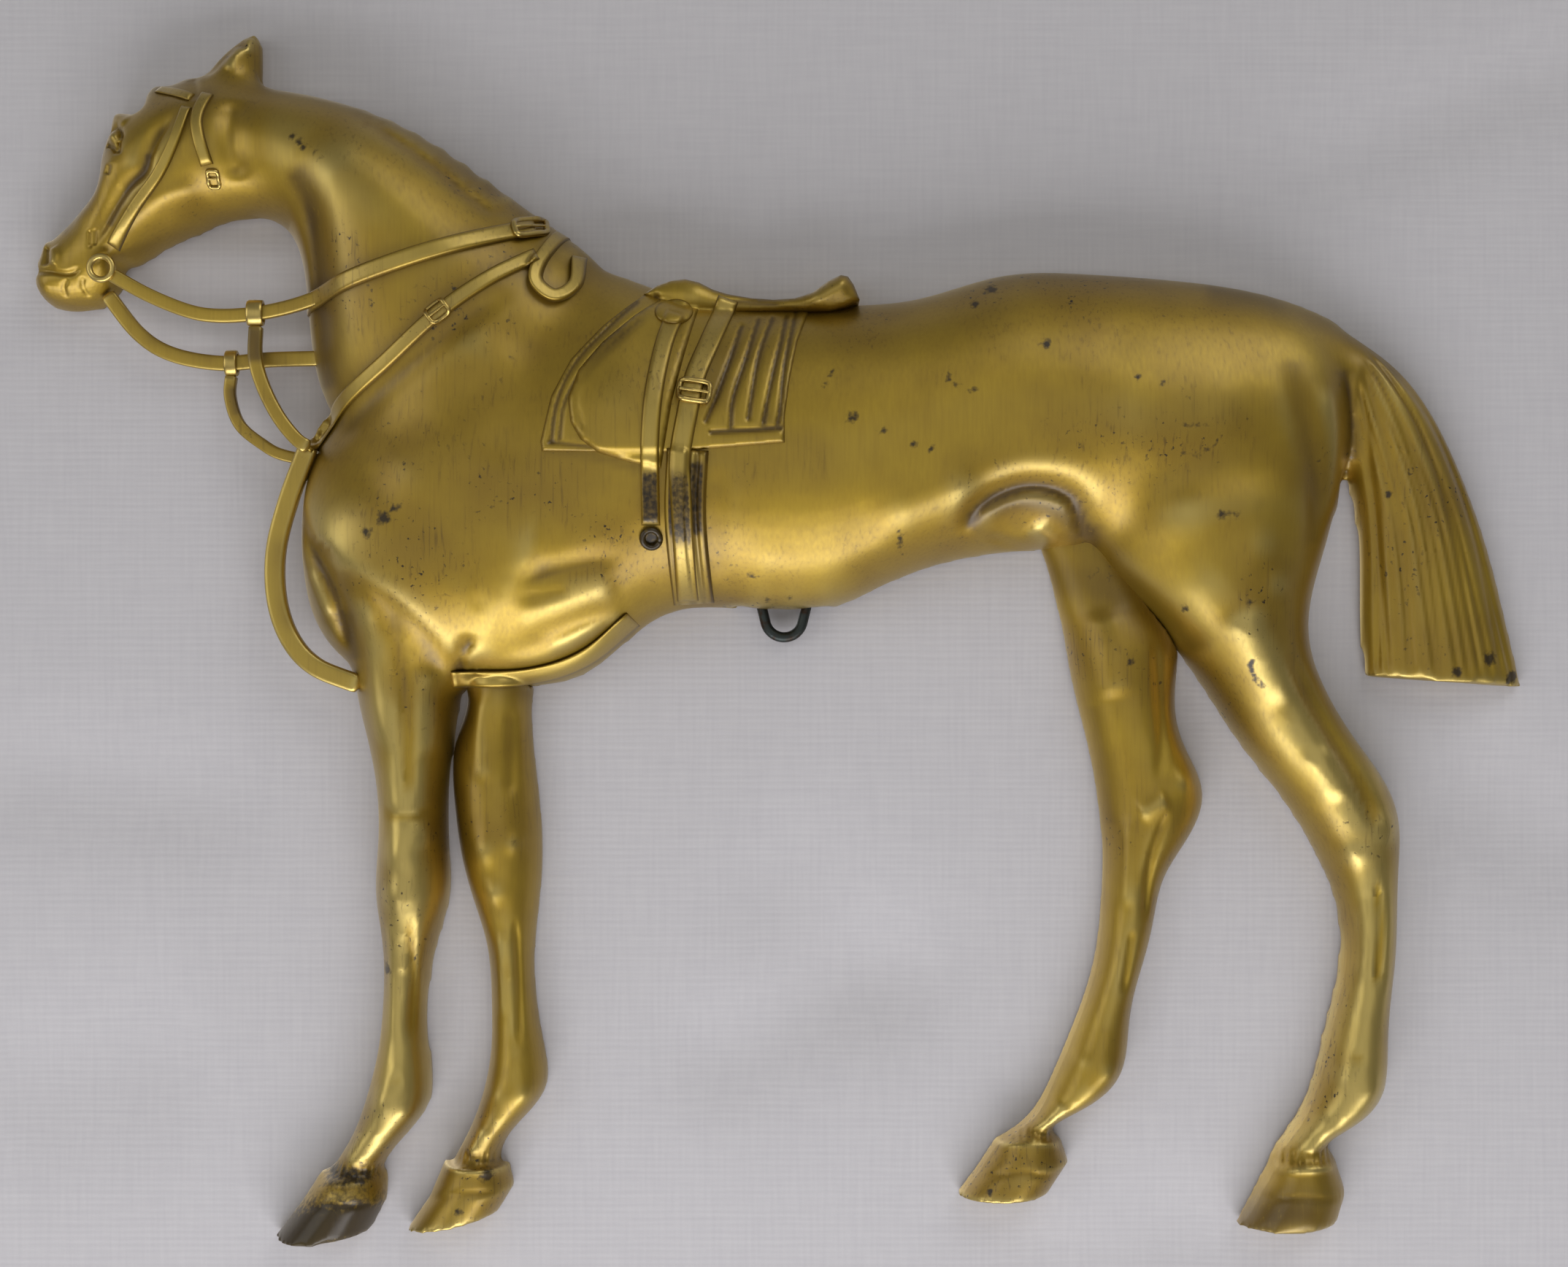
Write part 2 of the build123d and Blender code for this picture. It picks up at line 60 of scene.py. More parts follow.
LOG = logging.getLogger("racehorse")
Line = Sequence[Sequence[float]]


class Body(Enum):
    """The rigid bodies that the pieces ride on."""

    RELIEF = "relief"
    LOOP = "loop"


# Lines and surfaces -----------------------------------------------------------------------------------------


def ease(value: np.ndarray, low: float, high: float) -> np.ndarray:
    """Smooth step from 0 at low to 1 at high."""
    t = np.clip((np.asarray(value, float) - low) / (high - low), 0, 1)
    return t * t * (3 - 2 * t)


def smooth_line(points: Line, step: float = 0.4, closed: bool = False) -> np.ndarray:
    """Draws a smooth line through points.

    Args:
        points: the points to pass through, in two or three dimensions.
        step: spacing of the result in millimetres.
        closed: whether the line comes back to its start.

    Returns:
        Evenly spaced points. A closed line doesn't repeat its first point.
    """
    pts = np.asarray(points, float)
    if closed:
        ring = np.vstack([pts[-1:], pts, pts[:2]])
    else:
        ring = np.vstack([2 * pts[0] - pts[1], pts, 2 * pts[-1] - pts[-2]])
    t = np.linspace(0, 1, 20, endpoint=False)[:, None]
    spans = [
        0.5 * (2 * b + (c - a) * t + (2 * a - 5 * b + 4 * c - d) * t**2 + (3 * b - a - 3 * c + d) * t**3)
        for a, b, c, d in zip(ring, ring[1:], ring[2:], ring[3:])
    ]
    dense = np.vstack(spans + [ring[-2:-1]])
    run = np.concatenate([[0], np.cumsum(np.linalg.norm(np.diff(dense, axis=0), axis=1))])
    even = np.linspace(0, run[-1], max(2, int(round(run[-1] / step)) + 1))
    line = np.column_stack([np.interp(even, run, dense[:, k]) for k in range(pts.shape[1])])
    return line[:-1] if closed else line


def from_line(at: np.ndarray, line: np.ndarray) -> tuple[np.ndarray, np.ndarray, np.ndarray]:
    """Measures points against a line.

    Args:
        at: the points, as (X, Z) rows.
        line: the line's points.

    Returns:
        Distance, share of the way along, and side (positive on the left of the line's direction).
    """
    gap, along, side = np.full(len(at), np.inf), np.zeros(len(at)), np.zeros(len(at))
    if len(line) == 1:
        gap = np.hypot(*(at - line[0]).T)
        return gap, np.full(len(at), 0.5), side
    run = np.concatenate([[0], np.cumsum(np.hypot(*np.diff(line, axis=0).T))])
    for start, end, before in zip(line, line[1:], run):
        step = end - start
        length = math.hypot(*step)
        t = np.clip((at - start) @ step / length**2, 0, 1)
        off = at - start - t[:, None] * step
        reach = np.hypot(*off.T)
        closer = reach < gap
        gap[closer] = reach[closer]
        along[closer] = ((before + t * length) / run[-1])[closer]
        side[closer] = (step[0] * off[:, 1] - step[1] * off[:, 0])[closer]
    return gap, along, side


@dataclass(frozen=True)
class Stroke:
    """One pass of the modelling tool: a groove, ridge or dab along a smooth line."""

    line: Line
    width: float
    depth: float  # above zero stands out, below zero is cut in
    left_width: Optional[float] = None  # a different fall on the left of the line, for a lap
    taper: float = 0.2  # share of the length over which each end fades

    def at(self, spots: np.ndarray) -> np.ndarray:
        """Height of the stroke at each (X, Z) row."""
        line = smooth_line(self.line, 0.8) if len(self.line) > 1 else np.asarray(self.line, float)
        reach = 3 * max(self.width, self.left_width or 0)
        near = np.all((spots > line.min(0) - reach) & (spots < line.max(0) + reach), axis=1)
        result = np.zeros(len(spots))
        if not near.any():
            return result
        gap, along, side = from_line(spots[near], line)
        width = np.where(side > 0, self.left_width or self.width, self.width)
        lift = self.depth * np.exp(-((gap / width) ** 2))
        length = np.hypot(*np.diff(line, axis=0).T).sum() if len(line) > 1 else 0.0
        if self.taper * length > 0.6 * self.width:
            lift *= ease(along, 0, self.taper) * ease(1 - along, 0, self.taper)
        result[near] = lift
        return result


def strokes(rows: Iterable[tuple]) -> list[Stroke]:
    """Makes strokes from rows of line, width, depth and, where they differ, left width and taper."""
    return [Stroke(*row) for row in rows]


@dataclass(frozen=True)
class Nudge:
    """Moves the outline sideways around a spot."""

    spot: tuple[float, float]
    reach: float
    shift: tuple[float, float]


class Workpiece:
    """A mesh being worked on, with its points handled in millimetres."""

    def __init__(self, mesh: bpy.types.Mesh) -> None:
        """Takes over a Blender mesh in metres."""
        self.mesh = mesh

    @property
    def points(self) -> np.ndarray:
        """The points, in millimetres."""
        flat = np.empty(len(self.mesh.vertices) * 3)
        self.mesh.vertices.foreach_get("co", flat)
        return flat.reshape(-1, 3) / MM

    @points.setter
    def points(self, value: np.ndarray) -> None:
        self.mesh.vertices.foreach_set("co", (value * MM).ravel())
        self.mesh.update()

    @property
    def normals(self) -> np.ndarray:
        """Outward direction at each point."""
        flat = np.empty(len(self.mesh.vertices) * 3)
        self.mesh.vertices.foreach_get("normal", flat)
        return flat.reshape(-1, 3)

    def averaged(self, points: np.ndarray) -> np.ndarray:
        """Mean of each point's neighbours."""
        flat = np.empty(len(self.mesh.edges) * 2, np.int32)
        self.mesh.edges.foreach_get("vertices", flat)
        a, b = flat.reshape(-1, 2).T
        n = len(points)
        total = np.column_stack(
            [np.bincount(a, points[b, k], n) + np.bincount(b, points[a, k],
                n) for k in range(points.shape[1])]
        )
        return total / np.maximum(np.bincount(flat, minlength=n), 1)[:, None]

    def relax(self, weight: np.ndarray, turns: int) -> None:
        """Evens the surface out where weight is above zero."""
        points = self.points
        for _ in range(turns):
            points = points + 0.5 * weight[:, None] * (self.averaged(points) - points)
        self.points = points

    def polish(self, turns: int) -> None:
        """Smooths steps out of the whole surface without shrinking it."""
        points = self.points
        for _ in range(turns):
            for pull in (0.5, -0.52):
                points = points + pull * (self.averaged(points) - points)
        self.points = points

    def refine(self, boxes: Iterable[tuple[float, float, float, float]]) -> None:
        """Divides the faces on the front inside each (X low, Z low, X high, Z high) box."""
        for low_x, low_z, high_x, high_z in boxes:
            bm = bmesh.new()
            bm.from_mesh(self.mesh)
            chosen = set()
            for face in bm.faces:
                middle = face.calc_center_median() / MM
                if low_x < middle.x < high_x and low_z < middle.z < high_z and middle.y < BACK - 0.6:
                    if face.normal.y < 0.35:
                        chosen.update(face.edges)
            bmesh.ops.subdivide_edges(bm, edges=list(chosen), cuts=1, use_grid_fill=True)
            bm.to_mesh(self.mesh)
            bm.free()
            self.mesh.update()

    def carve(self, strokes: Iterable[Stroke], nudges: Iterable[Nudge] = ()) -> None:
        """Applies strokes along the depth of the relief, and nudges across it."""
        points, facing = self.points, ease(-self.normals[:, 1], 0.02, 0.4)
        lift = np.zeros(len(points))
        for stroke in strokes:
            lift += stroke.at(points[:, [0, 2]])
        points[:, 1] -= lift * facing * ease(BACK - points[:, 1], 0.3, 2.5)
        for nudge in nudges:
            away = np.hypot(points[:, 0] - nudge.spot[0], points[:, 2] - nudge.spot[1])
            share = np.exp(-((away / nudge.reach) ** 2))
            points[:, 0] += share * nudge.shift[0]
            points[:, 2] += share * nudge.shift[1]
        self.points = points

    def paint(self, name: str, values: np.ndarray) -> None:
        """Stores one number per point for a finish to read."""
        layer = self.mesh.attributes.get(name) or self.mesh.attributes.new(name, "FLOAT", "POINT")
        layer.data.foreach_set("value", np.clip(values, 0, 1).astype(np.float32))

    def wear(self, recess: Iterable[Stroke] = (), stain: Iterable[Stroke] = (), turns: int = 14) -> None:
        """Paints shade into hollows and highlight with wear onto heights, stains and the unfinished back.

        Args:
            recess: places besides the natural hollows that turn wax brown, as wax and as painted shade.
            stain: tarnished spots.
            turns: how widely the surface is averaged to find its hollows.
        """
        points, normals = self.points, self.normals
        smooth = points
        for _ in range(turns):
            smooth = self.averaged(smooth)
        hollow = np.einsum("ij,ij->i", smooth - points, normals)
        spots = points[:, [0, 2]]
        front = ease(-normals[:, 1], -0.3, 0.1)
        # painted shade: the hollows and the recess strokes darken towards the wax brown
        dark = 0.85 * ease(hollow, 0.05, 0.42) + sum(s.at(spots) for s in recess) * front
        self.paint("recess", dark)
        # painted highlight mixed with wear: convex heights turn towards the rubbed gold
        self.paint("rubbed_and_highlight", ease(-hollow, 0.06, 0.4) * front)
        self.paint("stain", sum((s.at(spots) for s in stain), np.zeros(len(points))) * front)
        self.paint("rough_back", 1 - front)


def add_object(name: str, data: bpy.types.ID) -> bpy.types.Object:
    """Puts a mesh, lamp or camera in the scene."""
    made = bpy.data.objects.new(name, data)
    bpy.context.scene.collection.objects.link(made)
    return made


def skin(nodes: Sequence[str], voxel: float) -> Workpiece:
    """Wraps one watertight skin around several parts of the frame.

    Args:
        nodes: names of the parts.
        voxel: spacing of the new skin, in millimetres.

    Returns:
        The new mesh.
    """
    bm = bmesh.new()
    for name in nodes:
        bm.from_mesh(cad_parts[name].data)
    bmesh.ops.remove_doubles(bm, verts=bm.verts, dist=0.002 * MM)
    rough = bpy.data.meshes.new("rough")
    bm.to_mesh(rough)
    bm.free()
    holder = add_object("rough", rough)
    remesh = holder.modifiers.new("skin", "REMESH")
    remesh.mode = "VOXEL"
    remesh.voxel_size = voxel * MM
    graph = bpy.context.evaluated_depsgraph_get()
    mesh = bpy.data.meshes.new_from_object(holder.evaluated_get(graph))
    bpy.data.objects.remove(holder)
    bpy.data.meshes.remove(rough)
    return Workpiece(mesh)


def closed_mesh(points: np.ndarray, faces: Sequence[Sequence[int]]) -> Workpiece:
    """Makes a mesh from points in millimetres, with its faces turned outwards."""
    mesh = bpy.data.meshes.new("piece")
    mesh.from_pydata((np.asarray(points) * MM).tolist(), [], [tuple(int(i) for i in f) for f in faces])
    bm = bmesh.new()
    bm.from_mesh(mesh)
    bmesh.ops.recalc_face_normals(bm, faces=bm.faces)
    bm.to_mesh(mesh)
    bm.free()
    mesh.update()
    return Workpiece(mesh)


def thick_sheet(flat: np.ndarray, faces: np.ndarray, top: np.ndarray, under: np.ndarray) -> Workpiece:
    """Closes a sheet that is seen from the front.

    Args:
        flat: (X, Z) of each point.
        faces: the sheet's faces.
        top: Y of the front at each point.
        under: Y of the hidden side at each point.

    Returns:
        The closed mesh.
    """
    n = len(flat)
    points = np.vstack([np.column_stack([flat[:, 0], y, flat[:, 1]]) for y in (top, under)])
    directed = {(f[k], f[(k + 1) % len(f)]) for f in faces for k in range(len(f))}
    rim = [(a, b) for a, b in directed if (b, a) not in directed]
    walls = [(b, a, a + n, b + n) for a, b in sorted(rim)]
    return closed_mesh(points, [*faces, *[tuple(i + n for i in reversed(f)) for f in faces], *walls])


def sweep(path: np.ndarray, half: tuple[float, float], closed: bool = False, square: float = 2.0,
          swell: Optional[np.ndarray] = None, up: tuple[float, float, float] = (0, -1, 0)) -> Workpiece:
    """Sweeps a rounded section along a path.

    Args:
        path: points in three dimensions.
        half: half width across, and half thickness towards up.
        closed: whether the path is a ring.
        square: 2 for an ellipse, more for a squarer section.
        swell: scale of the section at each point of the path.
        up: direction that the section's thickness faces.

    Returns:
        The closed mesh.
    """
    path = np.asarray(path, float)
    count, sides = len(path), 14
    if closed:
        tangent = np.roll(path, -1, 0) - np.roll(path, 1, 0)
    else:
        tangent = np.gradient(path, axis=0)
    tangent /= np.linalg.norm(tangent, axis=1)[:, None]
    normal = np.asarray(up, float) - (tangent @ np.asarray(up, float))[:, None] * tangent
    normal /= np.linalg.norm(normal, axis=1)[:, None]
    side = np.cross(tangent, normal)
    turn = full_turn(sides)
    wave = [np.sign(f(turn)) * np.abs(f(turn)) ** (2 / square) for f in (np.cos, np.sin)]
    scale = np.ones(count) if swell is None else swell
    broad = half[0] * wave[0][None, :, None] * side[:, None, :]
    thick = half[1] * wave[1][None, :, None] * normal[:, None, :]
    rings = path[:, None, :] + scale[:, None, None] * (broad + thick)
    spans = range(count if closed else count - 1)
    faces = [
        (i * sides + k, i * sides + (k + 1) % sides, ((i + 1) % count) * sides + (k + 1) % sides,
         ((i + 1) % count) * sides + k)
        for i in spans for k in range(sides)
    ]
    if not closed:
        faces += [tuple(range(sides)), tuple((count - 1) * sides + k for k in reversed(range(sides)))]
    return closed_mesh(rings.reshape(-1, 3), faces)


def quarter_round(value: np.ndarray) -> np.ndarray:
    """Rises like a quarter of a circle, from 0 at 0 to 1 at 1."""
    return np.sqrt(np.clip(1 - (1 - np.clip(value, 0, 1)) ** 2, 0, 1))


def rounded_ends(count: int, share: float) -> np.ndarray:
    """Section scale that rounds off both ends of a sweep, down to a fifth at the very end."""
    t = np.linspace(0, 1, count)
    return np.maximum(quarter_round(np.minimum(t, 1 - t) / share), 0.2)


def full_turn(count: int) -> np.ndarray:
    """Evenly spaced angles once around."""
    return np.linspace(0, 2 * math.pi, count, endpoint=False)


class Ground:
    """Everything made so far, for the next piece to lie on."""

    def __init__(self) -> None:
        """Starts with nothing laid down."""
        self.trees: list[BVHTree] = []

    def lay(self, work: Workpiece) -> None:
        """Adds a piece that later ones may lie on."""
        faces = [tuple(p.vertices) for p in work.mesh.polygons]
        self.trees.append(BVHTree.FromPolygons(work.points.tolist(), faces))

    def height(self, spots: np.ndarray) -> np.ndarray:
        """Y of the front at each (X, Z), or not-a-number beyond the outline."""
        found = np.full(len(spots), np.nan)
        for tree in self.trees:
            for i, (x, z) in enumerate(spots):
                hit = tree.ray_cast(Vector((x, -40, z)), Vector((0, 1, 0)))[0]
                if hit is not None and not hit.y >= found[i]:
                    found[i] = hit.y
        return found


# Finishes ---------------------------------------------------------------------------------------------------


def linear(code: str) -> tuple[float, float, float, float]:
    """Turns an sRGB hex colour into linear red, green, blue and alpha."""
    parts = [int(code[i:i + 2], 16) / 255 for i in (1, 3, 5)]
    return (*[p / 12.92 if p <= 0.04045 else ((p + 0.055) / 1.055) ** 2.4 for p in parts], 1.0)


def add_node(tree: bpy.types.NodeTree, kind: str, feeds: Optional[dict] = None,
             **settings: object) -> bpy.types.Node:
    """Adds a node to a finish.

    Args:
        tree: the finish's node tree.
        kind: Blender's name for the node.
        feeds: for each input, by name or number, a value or another node's output.
        settings: the node's own options.

    Returns:
        The node.
    """
    node = tree.nodes.new(kind)
    for name, value in settings.items():
        setattr(node, name, value)
    for key, value in (feeds or {}).items():
        if isinstance(value, bpy.types.NodeSocket):
            tree.links.new(value, node.inputs[key])
        else:
            node.inputs[key].default_value = value
    return node


def new_finish(name: str) -> tuple:
    """Starts a finish.

    Args:
        name: its name.

    Returns:
        The material, its node tree, its shader, and the place on the piece that its patterns start from.
    """
    made = bpy.data.materials.new(name)
    made.use_nodes = True
    tree = made.node_tree
    return made, tree, tree.nodes["Principled BSDF"], add_node(tree, "ShaderNodeTexCoord").outputs["Object"]


def noise(tree: bpy.types.NodeTree, at: bpy.types.NodeSocket, scale: float,
          detail: float = 2.0) -> bpy.types.NodeSocket:
    """Adds a cloudy pattern."""
    return add_node(tree, "ShaderNodeTexNoise", {"Vector": at, "Scale": scale, "Detail": detail}).outputs[0]


def bump(tree: bpy.types.NodeTree, height: bpy.types.NodeSocket, depth_mm: float, strength: float,
         over: Optional[bpy.types.NodeSocket] = None) -> bpy.types.NodeSocket:
    """Makes a pattern catch the light, on its own or over a wider one."""
    feeds = {"Height": height, "Distance": depth_mm * MM, "Strength": strength}
    if over is not None:
        feeds["Normal"] = over
    return add_node(tree, "ShaderNodeBump", feeds).outputs[0]


def two_tone(tree: bpy.types.NodeTree, pattern: bpy.types.NodeSocket, span: tuple[float, float],
             colours: tuple[str, str]) -> bpy.types.NodeSocket:
    """Goes from the first colour to the second while a pattern crosses its span."""
    feeds = {"Value": pattern, "From Min": span[0], "From Max": span[1]}
    share = add_node(tree, "ShaderNodeMapRange", feeds).outputs[0]
    return add_node(tree, "ShaderNodeMixRGB",
        {0: share, 1: linear(colours[0]), 2: linear(colours[1])}).outputs[0]


@dataclass(frozen=True)
class Gilding:
    """Brass casting, water-gilt and hand burnished, then toned with brown wax.

    The metal is satin, so lights spread into soft glows. Brown wax stays in the hollows, and its colour is
    also painted there as shade; the heights turn a paler rubbed gold that is partly wear and partly painted
    highlight, and tarnish comes through as specks and brush-wide streaks.
    """

    name: str
    gold: str = "#AE9022"
    deep_gold: str = "#947619"
    # paler gold of rubbed heights, which also serves as a painted highlight
    rubbed_highlight_gold: str = "#CDB86C"
    # brown of the wax, also painted as shade in hollows, creases and beside the tack
    wax_and_shade: str = "#4E3813"
    tarnish: str = "#33260F"
    back: str = "#7A6228"
    roughness: float = 0.5
    streak_mm: float = 0.45  # width of one brush streak
    streak_length_mm: float = 9.0
    streak_depth_mm: float = 0.08
    pit_mm: float = 0.7
    cloud_mm: float = 16.0
    dent_mm: float = 5.0  # soft unevenness left by the chaser's punches
    dent_depth_mm: float = 0.35
    specks: float = 1.0
    lacquer: float = 0.85  # thin spirit varnish, which whitens the lights
    lacquer_roughness: float = 0.36

    def material(self) -> bpy.types.Material:
        """Builds the finish."""
        made, tree, shader, place = new_finish(self.name)
        mm = add_node(tree, "ShaderNodeMapping", {"Vector": place, "Scale": (1 / MM,) * 3}).outputs[0]
        wide, long = 1 / self.streak_mm, 1 / self.streak_length_mm
        lie = add_node(tree, "ShaderNodeMapping", {"Vector": mm, "Scale": (wide, wide, long)}).outputs[0]
        streak = noise(tree, lie, 1.0, 3.0)
        cloud = noise(tree, mm, 1 / self.cloud_mm, 5.0)
        grain = noise(tree, mm, 1 / self.pit_mm, 4.0)
        hollow, rubbed_and_highlight, stain, rough_back = [
            add_node(tree, "ShaderNodeAttribute", attribute_name=n).outputs["Fac"]
            for n in ("recess", "rubbed_and_highlight", "stain", "rough_back")
        ]

        def spread(value: bpy.types.NodeSocket, low: float, high: float, to: float) -> bpy.types.NodeSocket:
            """Stretches a value from 0 at low to its most at high."""
            feeds = {"Value": value, "From Min": low, "From Max": high, "To Min": 0.0, "To Max": to}
            return add_node(tree, "ShaderNodeMapRange", feeds).outputs[0]

        def both(kind: str, a: object, b: object) -> bpy.types.NodeSocket:
            """Works one sum on two values, held between 0 and 1."""
            return add_node(tree, "ShaderNodeMath", {0: a, 1: b}, operation=kind, use_clamp=True).outputs[0]

        def blend(share: bpy.types.NodeSocket, under: object, over: object) -> bpy.types.NodeSocket:
            """Lays one colour over another."""
            feeds = {"Factor": share, "A": under, "B": over}
            node = add_node(tree, "ShaderNodeMix", data_type="RGBA")
            for key, value in feeds.items():
                named = [s for s in node.inputs if s.name == key]
                socket = [s for s in named if (s.type == "RGBA") == (key != "Factor")][0]
                if isinstance(value, bpy.types.NodeSocket):
                    tree.links.new(value, socket)
                else:
                    socket.default_value = value
            return [s for s in node.outputs if s.type == "RGBA"][0]

        pits = both("MULTIPLY", spread(grain, 0.63, 0.7, self.specks), spread(cloud, 0.5, 0.62, 1))
        drag = both("MULTIPLY", spread(streak, 0.56, 0.74, 0.55), spread(cloud, 0.42, 0.64, 1))
        colour = blend(spread(cloud, 0.35, 0.65, 1), linear(self.gold), linear(self.deep_gold))
        colour = blend(spread(streak, 0.35, 0.7, 0.3), colour, linear(self.deep_gold))
        # painted highlight mixed with wear: heights turn towards the rubbed gold
        colour = blend(both("MULTIPLY", rubbed_and_highlight, 0.6), colour, linear(self.rubbed_highlight_gold))
        # painted shade: hollows turn wax brown, broken up by the brush streaks, which are real wax
        hollow_wax_and_shade = both("MULTIPLY", hollow, spread(streak, 0.0, 0.35, 0.85))
        colour = blend(both("MAXIMUM", hollow_wax_and_shade, drag), colour, linear(self.wax_and_shade))
        broken = both("ADD", stain, both("MULTIPLY", spread(grain, 0.35, 0.65, 1), 0.45))
        ragged = both("MULTIPLY", spread(broken, 0.45, 1.0, 0.9), spread(stain, 0.05, 0.3, 1))
        colour = blend(both("MAXIMUM", pits, ragged), colour, linear(self.tarnish))
        colour = blend(rough_back, colour, linear(self.back))
        tree.links.new(colour, shader.inputs["Base Color"])
        shader.inputs["Metallic"].default_value = 1.0
        shader.inputs["Coat Weight"].default_value = self.lacquer
        shader.inputs["Coat Roughness"].default_value = self.lacquer_roughness
        dull = both("ADD", both("MULTIPLY", hollow_wax_and_shade, 0.25), both("MULTIPLY", ragged, 0.4))
        gloss = both("ADD", both("MULTIPLY", streak, 0.14), self.roughness - 0.07)
        gloss = both("SUBTRACT", gloss, both("MULTIPLY", rubbed_and_highlight, 0.1))
        gloss = both("ADD", both("ADD", gloss, dull), both("MULTIPLY", rough_back, 0.2))
        tree.links.new(gloss, shader.inputs["Roughness"])
        sand = both("MULTIPLY", grain, rough_back)
        relief = both("SUBTRACT", both("ADD", both("MULTIPLY", streak, 0.25), sand),
            both("MULTIPLY", pits, 0.6))
        wavy = bump(tree, noise(tree, mm, 1 / self.dent_mm, 1.0), self.dent_depth_mm, 0.3)
        tree.links.new(bump(tree, relief, self.streak_depth_mm, 0.6, wavy), shader.inputs["Normal"])
        return made


@dataclass(frozen=True)
class OxidisedSteel:
    """Drawn mild steel wire, blued by heat and oiled: near black, with a cold sheen and rust freckles."""

    name: str = "oxidised_steel_wire"
    steel: str = "#3B403D"
    rust: str = "#3A2A1E"
    draw_mm: float = 0.25  # spacing of the die's drawing lines
    draw_depth_mm: float = 0.03
    freckle_mm: float = 1.2

    def material(self) -> bpy.types.Material:
        """Builds the finish."""
        made, tree, shader, place = new_finish(self.name)
        freckles = noise(tree, place, 1 / (self.freckle_mm * MM), 4.0)
        colour = two_tone(tree, freckles, (0.5, 0.7), (self.steel, self.rust))
        tree.links.new(colour, shader.inputs["Base Color"])
        shader.inputs["Metallic"].default_value = 0.9
        shader.inputs["Roughness"].default_value = 0.45
        lines = noise(tree, place, 1 / (self.draw_mm * MM))
        tree.links.new(bump(tree, lines, self.draw_depth_mm, 0.5), shader.inputs["Normal"])
        return made


@dataclass(frozen=True)
class Calico:
    """Bleached plain-weave cotton: matt, pale and slightly warm, with an even fine weave and slub threads."""

    name: str = "bleached_calico"
    cloth: str = "#C2BFBF"
    shade: str = "#BBB8B9"
    thread_mm: float = 0.49
    thread_depth_mm: float = 0.05
    half_band: float = 0.16  # about half a band of the wave pattern at scale 1; a band takes in two threads
    slub_rate: float = 1700.0  # slubs in a metre, counted across their threads
    slub_run: float = 110.0  # and along them

    def material(self) -> bpy.types.Material:
        """Builds the finish. Seen from behind, the sheet lets the view through to the back of the relief."""
        made, tree, shader, place = new_finish(self.name)
        threads = {
            "Vector": place, "Scale": self.half_band / (self.thread_mm * MM), "Distortion": 1.2,
            "Detail": 2.0,
            "Detail Scale": 0.6,
        }
        across, along = self.slub_rate, self.slub_run
        waves, slubs = [], []
        for direction, lie in (("X", (across, across, along)), ("Z", (along, across, across))):
            wave = add_node(tree, "ShaderNodeTexWave", threads, bands_direction=direction)
            waves.append(wave.outputs["Fac"])
            run = add_node(tree, "ShaderNodeMapping", {"Vector": place, "Scale": lie}).outputs[0]
            slubs.append(noise(tree, run, 1.0))
        weave, slub = [
            add_node(tree, "ShaderNodeMath", {0: warp, 1: weft}, operation="ADD").outputs[0]
            for warp, weft in (waves, slubs)
        ]
        colour = two_tone(tree, slub, (0.7, 1.5), (self.cloth, self.shade))
        tree.links.new(colour, shader.inputs["Base Color"])
        shader.inputs["Roughness"].default_value = 0.95
        tree.links.new(bump(tree, weave, self.thread_depth_mm, 0.22), shader.inputs["Normal"])
        clear = add_node(tree, "ShaderNodeBsdfTransparent").outputs[0]
        behind = add_node(tree, "ShaderNodeNewGeometry").outputs["Backfacing"]
        mixer = add_node(tree, "ShaderNodeMixShader", {0: behind, 1: shader.outputs[0], 2: clear})
        tree.links.new(mixer.outputs[0], tree.nodes["Material Output"].inputs["Surface"])
        return made


class Finish(Enum):
    """The finishes, each under its slot name."""

    CASTING = "gilt_brass_casting"
    TACK = "gilt_brass_tack"
    BUCKLE = "polished_brass_buckle"
    LUG = "raw_brass_lug"
    WIRE = "dark_steel_wire"


class Workshop:
    """Finishes the pieces and puts them on their bodies."""

    def __init__(self) -> None:
        """Mixes every finish once."""
        self.ground = Ground()
        self.finishes = {
            Finish.CASTING: Gilding("water_gilt_cast_brass").material(),
            Finish.TACK: Gilding("chased_gilt_brass", gold="#B4962A", deep_gold="#9C7F20",
                specks=0.5).material(),
            Finish.BUCKLE: Gilding(
                "burnished_brass", gold="#C9B060", deep_gold="#B59A4A", wax_and_shade="#5E4519", roughness=0.34,
                specks=0.3
            ).material(),
            Finish.LUG: Gilding("filed_brass", gold="#A8873D", deep_gold="#8C6F31", roughness=0.5).material(),
            Finish.WIRE: OxidisedSteel().material(),
        }

    def place(self, work: Workpiece, name: str, finish: Finish, nodes: Sequence[str],
              body: Body = Body.RELIEF, lay: bool = True) -> None:
        """Makes a worked mesh into a piece of the model.

        Args:
            work: the mesh.
            name: the piece's name.
            finish: its finish.
            nodes: the frame's nodes that it stands for.
            body: what it moves with.
            lay: whether later pieces may lie on it.
        """
        work.mesh.name = name
        work.mesh.materials.clear()
        work.mesh.materials.append(self.finishes[finish])
        work.mesh.polygons.foreach_set("use_smooth", [True] * len(work.mesh.polygons))
        piece = add_object(name, work.mesh)
        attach(piece, body.value)
        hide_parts(*nodes)
        if lay:
            self.ground.lay(work)
        LOG.info("%s: %d faces", name, len(work.mesh.polygons))


# The castings -----------------------------------------------------------------------------------------------

